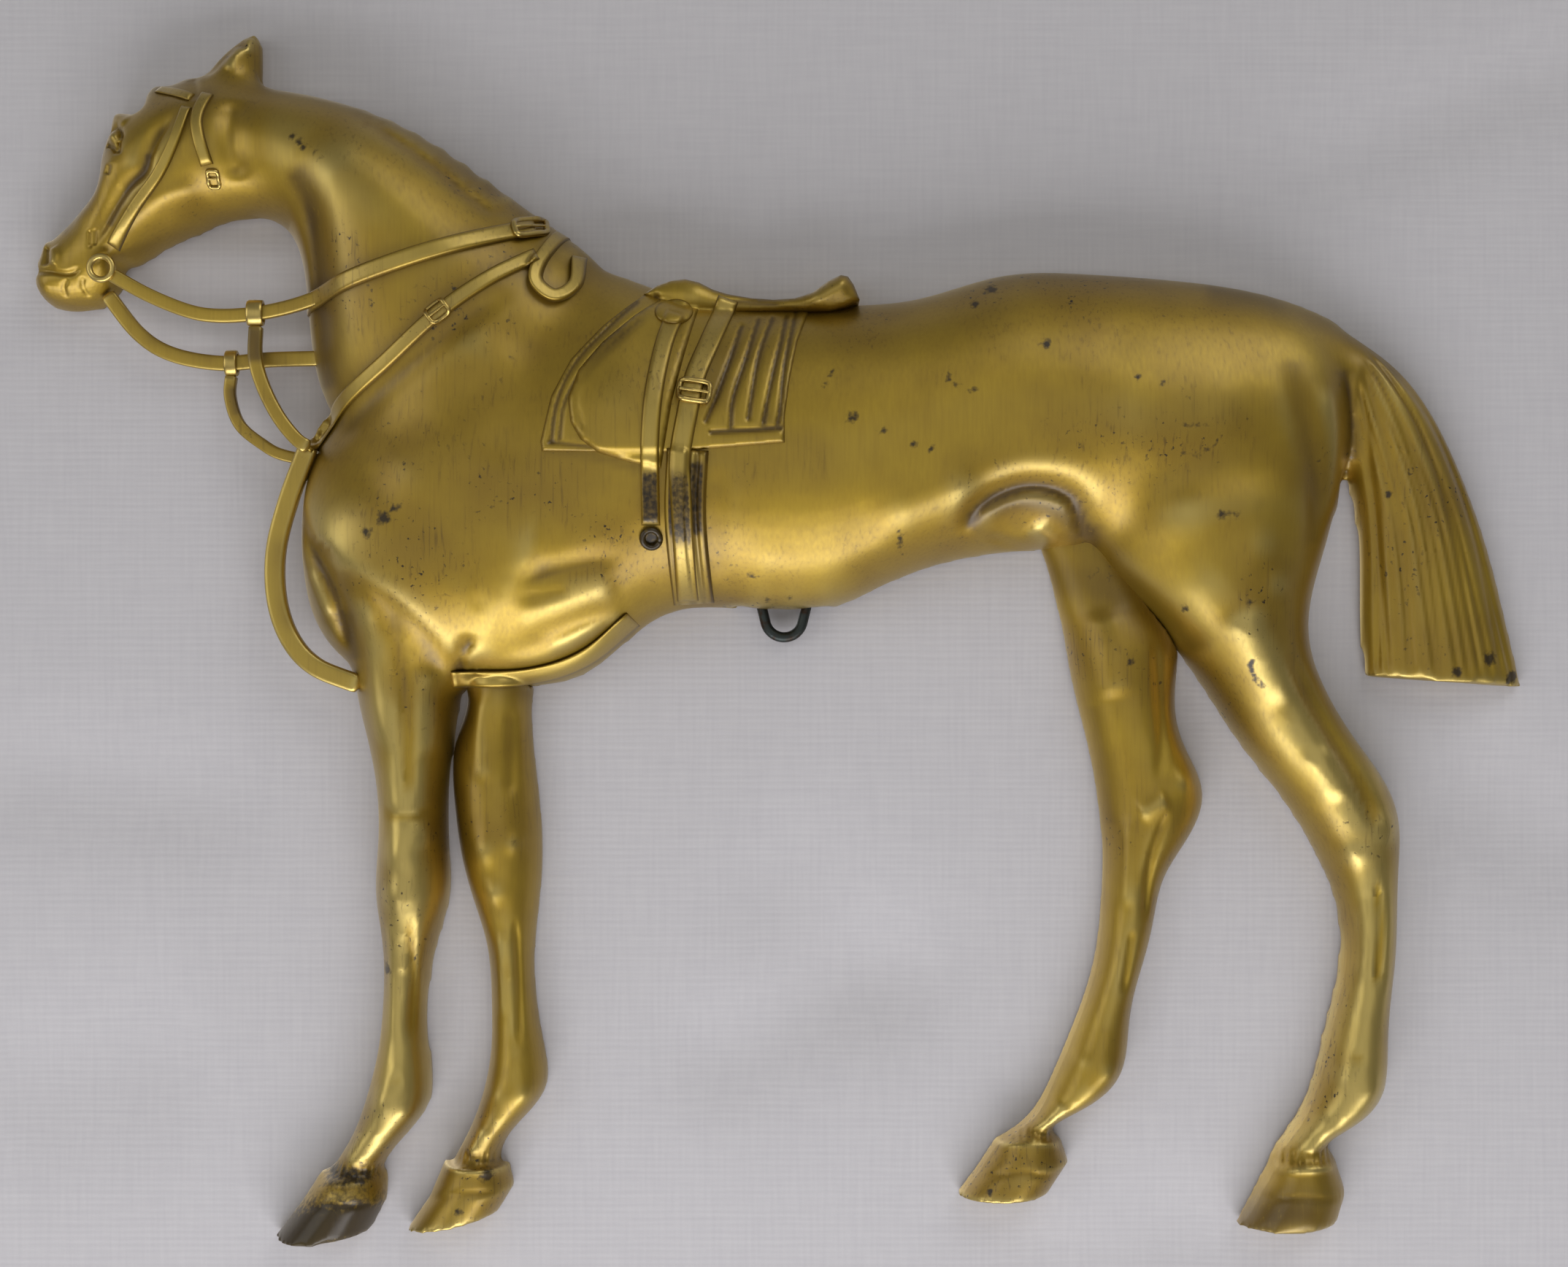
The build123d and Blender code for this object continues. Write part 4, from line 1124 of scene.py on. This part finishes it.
@dataclass
class Panel:
    """A flat piece of tack, such as the saddle cloth, with tooled lines."""

    name: str
    outline: Line
    rise: float
    tooling: tuple[Stroke, ...] = ()
    # strokes of wax brown, painted as shade beside the straps
    wax_and_shade: tuple[Stroke, ...] = ()
    roll: float = 0.8  # how far in from its edge the panel rounds down
    step: float = 0.5
    bury: float = 1.0  # how far the hidden side goes in
    fixed_height: Optional[float] = None  # height above the back, for a piece with a flat front

    def build(self, workshop: Workshop) -> None:
        """Lays the panel down."""
        corners = np.asarray(self.outline, float)
        rim = []
        for start, end in zip(corners, np.roll(corners, -1, 0)):
            count = max(1, int(np.hypot(*(end - start)) / self.step))
            rim += [start + (end - start) * k / count for k in range(count)]
        rim = np.array(rim)
        low, high = rim.min(0), rim.max(0)
        xs, zs = np.arange(low[0], high[0], self.step), np.arange(low[1], high[1], self.step)
        inside = np.array([(x + (0.25 if j % 2 else 0) * self.step, z) for j, z in enumerate(zs) for x in xs])
        gap = from_line(inside, np.vstack([rim, rim[:1]]))[0]
        inside = inside[gap > 0.35 * self.step]
        spots = [Vector(p) for p in np.vstack([rim, inside])]
        flat, _, faces, *_ = geometry.delaunay_2d_cdt(spots, [], [list(range(len(rim)))], 1, 1e-5)
        flat = np.array([tuple(v) for v in flat])
        used = sorted({i for f in faces for i in f})
        renumber = {old: new for new, old in enumerate(used)}
        faces = [[renumber[i] for i in f] for f in faces]
        flat = flat[used]
        edge = from_line(flat, np.vstack([rim, rim[:1]]))[0]
        ground = workshop.ground.height(flat)
        known = ~np.isnan(ground)
        if not known.all():
            for i in np.where(~known)[0]:
                ground[i] = ground[known][np.argmin(np.hypot(*(flat[known] - flat[i]).T))]
        profile = quarter_round(edge / self.roll) * 0.85 + 0.15
        lift = sum((s.at(flat) for s in self.tooling), np.zeros(len(flat)))
        if self.fixed_height is None:
            top = ground - self.rise * profile - lift
        else:
            top = np.minimum(BACK - self.fixed_height + self.rise * (1 - profile), ground + 0.4) - lift
        work = thick_sheet(flat, faces, top, np.minimum(ground + self.bury, BACK - BACK_GAP))
        # painted shade: wax brown in the tooled grooves and along the rim where the panel meets the casting
        dark = ease(-lift, 0.04, 0.35) * 0.9 + 0.6 * (1 - ease(edge, 0.0, 0.5))
        dark += sum((s.at(flat) for s in self.wax_and_shade), np.zeros(len(flat)))
        work.paint("recess", np.concatenate([dark, np.zeros(len(flat))]))
        # painted highlight with wear on the raised tooling
        work.paint("rubbed_and_highlight", np.concatenate([0.3 * ease(lift, 0.2, 0.8), np.zeros(len(flat))]))
        workshop.place(work, f"chased_{self.name}", Finish.TACK, (self.name,))


@dataclass
class Saddle:
    """Seat, flap, folded cloth, girth, surcingle and stirrup leather."""

    workshop: Workshop

    def build(self) -> None:
        """Lays the saddle down from the cloth outwards."""
        pleats = [
            [(-5.4, 132), (-7, 126.4), (-9, 120.6), (-10.6, 116.8)],
            [(-3, 133.2), (-4.8, 126.5), (-6.6, 120.5), (-7, 116)],
            [(-1, 133.4), (-3, 127), (-4, 121), (-4.6, 117)],
            [(0.9, 134), (0.1, 129.5), (-1.1, 124), (-2.6, 116.4)],
            [(2.3, 134.6), (1.3, 129.6), (0.5, 125), (-0.1, 119), (-0.6, 116.4)],
        ]
        tooling = [Stroke(p, 0.24, -0.4, 0.5, 0.05) for p in pleats]
        tooling += [
            Stroke([(-19.8, 135.4), (-24, 131), (-28.6, 125.6), (-31, 120), (-31.8, 114)], 0.24, -0.35, 0.45,
                0.03),
            Stroke([(-18.8, 133.6), (-23, 129.6), (-27.2, 125), (-29.9, 120), (-30.6, 114.4)], 0.24, -0.3,
                0.45, 0.03),
            Stroke([(-10, 115.8), (-4, 116.1), (0.4, 116.4)], 0.4, -0.4, taper=0.03),
            Stroke([(-32, 114.4), (-26, 113.8)], 0.4, -0.25, taper=0.03),
        ]
        Panel(
            "saddle_cloth",
            [(-18.6, 137), (-24.8, 131.2), (-29.2, 126.2), (-31.8, 121), (-33.2, 114.6), (-33, 113.2),
                (-16, 113),
             (0.6, 114.4), (0.6, 118), (1.3, 123.2), (2.4, 129), (4.2, 134.4), (-14, 134.4)],
            0.65, tuple(tooling),
            (Stroke([(-9, 130), (-9.6, 118)], 2.4, 0.35), Stroke([(-1.6, 117.8)], 1.6, 0.35)), step=0.32,
        ).build(self.workshop)
        Panel(
            "saddle_flap",
            [(-16, 136.4), (-20.4, 132.8), (-24.8, 128.6), (-28, 124.6), (-29.4, 120.6), (-29, 117.2),
                (-27.6, 114.8),
             (-25.2, 113), (-20.6, 111.6), (-16.5, 110.8), (-15, 120), (-11.5, 134.5)],
            0.8, (Stroke([(-19, 132.6), (-26.6, 124.6), (-28.2, 120), (-27, 115.8)], 0.4, -0.22, taper=0.05),
                  Stroke([(-22, 121)], 5, 0.5)),
            (Stroke([(-21, 131.4), (-27, 125)], 1.2, 0.4),),
        ).build(self.workshop)
        Panel(
            "saddle_seat",
            [(-19.5, 136.4), (-17.6, 137.6), (-15.6, 138.3), (-13.6, 138.5), (-11.6, 138), (-9.6, 137),
                (-7.6, 136.4),
             (-4, 135.8), (-1, 135.6), (2, 135.8), (4.6, 136.6), (6.8, 138.2), (8.6, 139.1), (9.6, 138.9),
             (10.4, 137.8), (11.3, 135.6), (9.2, 134.6), (7, 134), (0, 133.9), (-6, 133.8), (-14, 133.2)],
            1.6, (Stroke([(5.4, 136), (8.4, 137.6)], 1.3, 0.8), Stroke([(-12.4, 136.2)], 2.4, 0.6),
                  Stroke([(-18, 136.6), (-16.8, 134)], 0.4, -0.5),
                  Stroke([(-9, 135.2), (1, 134.8)], 0.4, -0.3)),
            roll=2.4, step=0.4, fixed_height=8.4,
        ).build(self.workshop)
        twin = ((-0.72, 0.25), (-0.14, -0.25), (0.06, 0.35), (0.5, 0.6), (0.86, -0.2))
        LaidStrap("girth", GIRTH, 5.8, 1.1, twin, across=33, stains=((0.08, 0.55, 0.9),)).build(self.workshop)
        LaidStrap("surcingle", SURCINGLE, 3.0, 0.75, stains=((0.6, 0.82, 0.85),)).build(self.workshop)
        LaidStrap("stirrup_leather", LEATHER, 2.6, 0.85, stains=((0.76, 0.99, 1.0),)).build(self.workshop)
        round_patch = [(-15 + 2.7 * math.cos(a), 133.4 + 2.1 * math.sin(a)) for a in full_turn(24)]
        Panel("stirrup_skirt", round_patch, 0.85, roll=2.1, step=0.3).build(self.workshop)


def on_ground(ground: Ground, flat: np.ndarray, lift: float) -> np.ndarray:
    """Lifts a flat line to just above what it lies on."""
    height = ground.height(flat)
    known = ~np.isnan(height)
    places = np.arange(len(height))
    if known.any():
        height = np.interp(places, places[known], height[known])
    else:
        height = np.full(len(height), BACK - 3)
    calm = np.convolve(np.pad(height, 3, mode="edge"), np.ones(7) / 7, "valid")
    return np.column_stack([flat[:, 0], np.minimum(calm, height + 0.15) - lift, flat[:, 1]])


@dataclass
class Buckles:
    """Frames with a tongue, the stirrup's boss and the bit ring."""

    workshop: Workshop

    def frame(self, name: str, spot: tuple[float, float], size: tuple[float, float],
              tilt: float, bar: float) -> None:
        """Makes a rounded frame with a tongue across it.

        Args:
            name: the node it stands for.
            spot: its middle.
            size: outside width and height.
            tilt: its turn in degrees.
            bar: thickness of its wire.
        """
        c, s = math.cos(math.radians(tilt)), math.sin(math.radians(tilt))
        turn = np.array([[c, s], [-s, c]])
        half = np.array(size) / 2 - bar / 2
        around = full_turn(48)
        corner = [np.sign(f(around)) * np.abs(f(around)) ** 0.42 for f in (np.cos, np.sin)]
        ring = np.column_stack(corner) * half @ turn + spot
        parts = [sweep(on_ground(self.workshop.ground, ring, bar * 0.45), (bar / 2, bar / 2), closed=True)]
        tongue = np.column_stack([np.linspace(-half[0], half[0] * 1.05, 16), np.zeros(16)]) @ turn + spot
        taper = np.linspace(1, 0.55, 16)
        tongue = on_ground(self.workshop.ground, tongue, bar * 0.75)
        parts.append(sweep(tongue, (bar * 0.34, bar * 0.3), swell=taper))
        self.workshop.place(merged(parts), f"frame_{name}", Finish.BUCKLE, (name,))

    def build(self) -> None:
        """Makes every buckle."""
        self.frame("surcingle_buckle", (-11.9, 121.6), (5, 3.6), -8, 0.8)
        self.frame("neck_strap_buckle", (-47.7, 132.8), (3.6, 3), 37, 0.65)
        self.frame("throatlash_buckle", (-80.2, 152.2), (2, 2.6), 0, 0.55)
        self.frame("rein_buckle", (-35.6, 146), (5, 3.6), 17, 0.9)
        around = full_turn(40)
        ring = np.column_stack([-18 + 1.2 * np.cos(around), 101.2 + 1.2 * np.sin(around)])
        boss = sweep(on_ground(self.workshop.ground, ring, 0.2), (0.45, 0.6), closed=True)
        boss.paint("stain", np.full(len(boss.points), 0.9))
        self.workshop.place(boss, "turned_stirrup_boss", Finish.TACK, ("stirrup_boss",))
        across, heights = -96.4 + 1.65 * np.cos(around), 139.9 + 1.65 * np.sin(around)
        ring = np.column_stack([across, np.full(40, BACK - 8.65), heights])
        bit = sweep(ring, (0.45, 0.45), closed=True)
        self.workshop.place(bit, "turned_bit_ring", Finish.BUCKLE, ("bit_ring",))


def merged(parts: Sequence[Workpiece]) -> Workpiece:
    """Joins several closed meshes into one piece."""
    bm = bmesh.new()
    for part in parts:
        bm.from_mesh(part.mesh)
        bpy.data.meshes.remove(part.mesh)
    mesh = bpy.data.meshes.new("joined")
    bm.to_mesh(mesh)
    bm.free()
    return Workpiece(mesh)


@dataclass
class FreeTack:
    """Straps that stand clear of the casting in front of the throat and breast."""

    workshop: Workshop
    near: float = 7.75  # middle of the near straps above the back
    chest: float = 5.9
    off: float = 3.95

    shaded: tuple[Stroke, ...] = (
        Stroke([(-74.8, 132.2), (-74.6, 126)], 1.5, 1.0), Stroke([(-79, 124), (-77.6, 119)], 0.9, 0.7),
        Stroke([(-71.4, 103), (-72.2, 95), (-70, 87)], 0.7, 0.5),
        Stroke([(-92, 131.4), (-80, 127)], 1.0, 0.35),
    )

    def strap(self, name: str, line: Line, height: float, width: float, thick: float = 1.5) -> Workpiece:
        """Makes one strap of even width standing off the back."""
        flat = smooth_line(line, 0.5)
        path = np.column_stack([flat[:, 0], np.full(len(flat), BACK - height), flat[:, 1]])
        work = sweep(path, (width / 2, thick / 2), square=5.0, swell=rounded_ends(len(path), 0.02))
        work.wear(self.shaded, turns=4)
        return work

    def build(self) -> None:
        """Makes the reins, the breast strap, its fork and its rings."""
        near_free = [(-95.6, 139.3), (-90, 136.2), (-84.3, 133.9), (-80, 133.2), (-74.7, 133.5),
            (-69.4, 134.6), (-63.6, 136.6)]
        rein = self.strap("near_rein", near_free, self.near, 2.0)
        LaidStrap("near_rein", NEAR_REIN_LAID, 2.6, 1.1).build(self.workshop)
        self.workshop.place(rein, "free_near_rein", Finish.TACK, ("near_rein",))
        free = [
            ("off_rein", [(-97, 137), (-92.4, 131.2), (-87.6, 128.2), (-80.6, 126.9), (-73.5, 127.4),
                (-66, 127.6)],
             self.off, 2.2, 1.5),
            ("chest_strap", [(-67.4, 115), (-70.4, 107), (-72.2, 99.6), (-72, 92.6), (-70, 87), (-66.4, 83.2),
                             (-60, 80.6)], self.chest, 2.8, 2.3),
            ("near_fork", [(-74.6, 132), (-74.7, 127.2), (-73.6, 123.2), (-71.5, 119), (-69, 115.8),
                (-67, 114.4)],
             self.near, 2.0, 1.5),
            ("off_fork", [(-79, 125.4), (-79.2, 122), (-77.8, 118), (-74.5, 115.2), (-71.6, 113.7),
                (-66, 112.6)],
             self.off, 1.7, 1.5),
        ]
        for name, line, height, width, thick in free:
            work = self.strap(name, line, height, width, thick)
            self.workshop.place(work, f"free_{name}", Finish.TACK, (name,), lay=name == "chest_strap")
        for name, spot, height, (half, tall, deep) in (
            ("near_rein_ring", (-74.7, 133.6), self.near, (1.15, 1.6, 1.5)),
            ("off_rein_ring", (-79, 126.9), self.off, (0.9, 1.6, 1.4)),
        ):
            around = full_turn(32)
            depths, heights = BACK - height - deep * 0.8 * np.cos(around), spot[1] + tall * np.sin(around)
            ring = np.column_stack([np.full(32, spot[0]), depths, heights])
            work = sweep(ring, (0.32, half), closed=True, square=4.0, up=(1, 0, 0))
            work.wear(turns=3)
            self.workshop.place(work, f"folded_{name}", Finish.BUCKLE, (name,), lay=False)


@dataclass
class HangingLoop:
    """The lug inside the belly and the wire loop that swings in it."""

    workshop: Workshop
    wire: float = 0.75
    shoulder: float = 4.9
    eye: float = 2.75

    def build(self) -> None:
        """Makes the lug and the loop."""
        lug = skin(("loop_lug",), 0.16)
        lug.polish(3)
        lug.wear(turns=6)
        self.workshop.place(lug, "filed_loop_lug", Finish.LUG, ("loop_lug",), lay=False)
        low, high = (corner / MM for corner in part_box("hanging_loop"))
        middle, depth = (low.x + high.x) / 2, (low.y + high.y) / 2
        pivot, foot = high.z - self.wire, low.z + self.wire + self.eye
        drop = pivot - foot
        lean = math.atan(self.shoulder / drop) - math.asin(self.eye / math.hypot(self.shoulder, drop))
        around = np.linspace(math.pi + lean, 2 * math.pi - lean, 25)
        right = [(self.eye * math.cos(a), foot + self.eye * math.sin(a)) for a in around]
        end = right[-1]
        run = math.hypot(self.shoulder - end[0], pivot - end[1])
        up = [
            (end[0] + (self.shoulder - 0.3 - end[0]) * t, end[1] + (pivot - 1 - end[1]) * t)
            for t in np.linspace(0.1, 1, int(run / 0.5))
        ]
        bend = [
            (self.shoulder - 0.45, pivot - 0.35), (self.shoulder - 1.2, pivot),
            (self.shoulder - 2.2, pivot), (0.1, pivot),
        ]
        half = right[len(right) // 2:] + up + bend
        flat = np.array([(-x, z) for x, z in reversed(half)] + half[1:])
        even = smooth_line(flat, 0.3)
        path = np.column_stack([middle + even[:, 0], np.full(len(even), depth), even[:, 1]])
        loop = sweep(path, (self.wire, self.wire), swell=rounded_ends(len(path), 0.01))
        self.workshop.place(loop, "bent_hanging_loop", Finish.WIRE, ("hanging_loop",), Body.LOOP, lay=False)


# Stage ------------------------------------------------------------------------------------------------------


@dataclass(frozen=True)
class SoftBox:
    """An area lamp. Its place and its width and height are in millimetres."""

    name: str
    spot: tuple[float, float, float]
    size: tuple[float, float]
    watts: float
    colour: str = "#FFFFFF"

    def hang(self, target: Vector) -> None:
        """Puts the lamp up, pointing at the target."""
        data = bpy.data.lights.new(self.name, "AREA")
        data.shape, data.size, data.size_y = "RECTANGLE", self.size[0] * MM, self.size[1] * MM
        data.energy, data.color = self.watts, linear(self.colour)[:3]
        lamp = add_object(self.name, data)
        lamp.location = Vector(self.spot) * MM
        lamp.rotation_euler = (target - Vector(self.spot)).to_track_quat("-Z", "Y").to_euler()


@dataclass
class Stage:
    """A sheet of cloth behind and below the relief, the lights and the camera."""

    wall_gap: float = 0.25
    distance: float = 330.0
    aim: tuple[float, float] = (0.5, 88.0)
    lens: float = 52.0
    room: str = "#D6D6D8"
    room_strength: float = 0.31
    lamps: tuple[SoftBox, ...] = (
        SoftBox("key_soft_box", (360, -420, 600), (520, 380), 1.25),
        SoftBox("low_box", (-20, -230, -330), (620, 220), 2.3, "#F7F8FF"),
        SoftBox("front_fill_box", (0, -900, 90), (900, 700), 0.9),
        SoftBox("left_box", (-620, -420, 170), (480, 480), 1.0),
        SoftBox("back_box", (-300, 460, 260), (400, 400), 2.2),
    )

    def wrinkles(self, x: np.ndarray, z: np.ndarray) -> np.ndarray:
        """Depth of the soft creases left from folding, always behind the relief's back."""
        depth = np.zeros(len(x))
        for start, end, width, deep in (
            ((60, 150), (130, 178), 7, 1.4), ((-125, 70), (-70, 62), 9, 1.2), ((-20, 20), (25, 46), 8, 1.3),
            ((92, 70), (125, 52), 10, 1.3), ((-36, 150), (10, 128), 9, 0.9), ((-10, 60), (30, 30), 12, 1.0),
            ((-120, 20), (-80, 30), 12, 1.2), ((30, -6), (70, 4), 10, 1.2), ((-90, 176), (-20, 160), 10, 0.9),
        ):
            depth += Stroke([start, end], width, deep, taper=0.3).at(np.column_stack([x, z]))
        return depth

    def sheet(self) -> None:
        """Hangs the cloth behind the relief and sweeps it forward into a floor."""
        wall, floor, bend = BACK + self.wall_gap, -520.0, 220.0
        heights = [*np.linspace(900, 240, 12), *np.linspace(236, -60, 100),
            *np.linspace(-64, floor + bend, 20)]
        ups = [(wall, z) for z in heights]
        curve = [(wall - bend + bend * math.cos(a), floor + bend - bend * math.sin(a))
                 for a in np.linspace(0, math.pi / 2, 24)[1:]]
        out = [(y, floor) for y in np.linspace(wall - bend, -1400, 30)[1:]]
        profile = np.array(ups + curve + out)
        xs = np.array([*np.linspace(-900, -170, 16), *np.linspace(-166, 166, 112),
            *np.linspace(170, 900, 16)])
        points = np.array([(x, y, z) for y, z in profile for x in xs])
        points[:, 1] += self.wrinkles(points[:, 0], points[:, 2])
        n = len(xs)
        faces = [(i * n + k, (i + 1) * n + k, (i + 1) * n + k + 1, i * n + k + 1)
                 for i in range(len(profile) - 1) for k in range(n - 1)]
        mesh = bpy.data.meshes.new("calico_sheet")
        mesh.from_pydata((points * MM).tolist(), [], faces)
        mesh.polygons.foreach_set("use_smooth", [True] * len(mesh.polygons))
        mesh.materials.append(Calico().material())
        piece = add_object("calico_sheet", mesh)
        piece.visible_shadow = False

    def build(self) -> None:
        """Sets up cloth, lights and camera."""
        self.sheet()
        for lamp in self.lamps:
            lamp.hang(Vector((0, 0, 90)))
        world = bpy.data.worlds.new("studio")
        world.use_nodes = True
        light = world.node_tree.nodes["Background"].inputs
        light["Color"].default_value = linear(self.room)
        light["Strength"].default_value = self.room_strength
        scene = bpy.context.scene
        scene.world = world
        scene.view_settings.view_transform = "Standard"
        data = bpy.data.cameras.new("camera")
        data.lens, data.sensor_width = self.lens, 36.0
        data.clip_start, data.clip_end = 0.01, 10.0
        camera = add_object("camera", data)
        camera.location = Vector((self.aim[0], BACK - self.distance, self.aim[1])) * MM
        camera.rotation_euler = (math.pi / 2, 0, 0)
        scene.camera = camera


def main() -> None:
    """Builds the relief from the casting outwards."""
    logging.basicConfig(level=logging.INFO, format="%(message)s")
    workshop = Workshop()
    Stage().build()
    HorseCasting(workshop).build()
    OffSide(workshop).build()
    Saddle(workshop).build()
    LaidStrap("near_rein_bight", BIGHT, 2.0, 1.6).build(workshop)
    FreeTack(workshop).build()
    LaidStrap("neck_strap", NECK_STRAP, 2.2, 1.0).build(workshop)
    LaidStrap("belly_strap", BELLY, 2.4, 1.0).build(workshop)
    LaidStrap("cheekpiece", CHEEK, 1.6, 0.7, across=11).build(workshop)
    LaidStrap("throatlash", THROATLASH, 1.8, 0.7, across=11).build(workshop)
    LaidStrap("browband", BROWBAND, 1.4, 0.6, across=11).build(workshop)
    Buckles(workshop).build()
    HangingLoop(workshop).build()


if __name__ == "__main__":
    main()
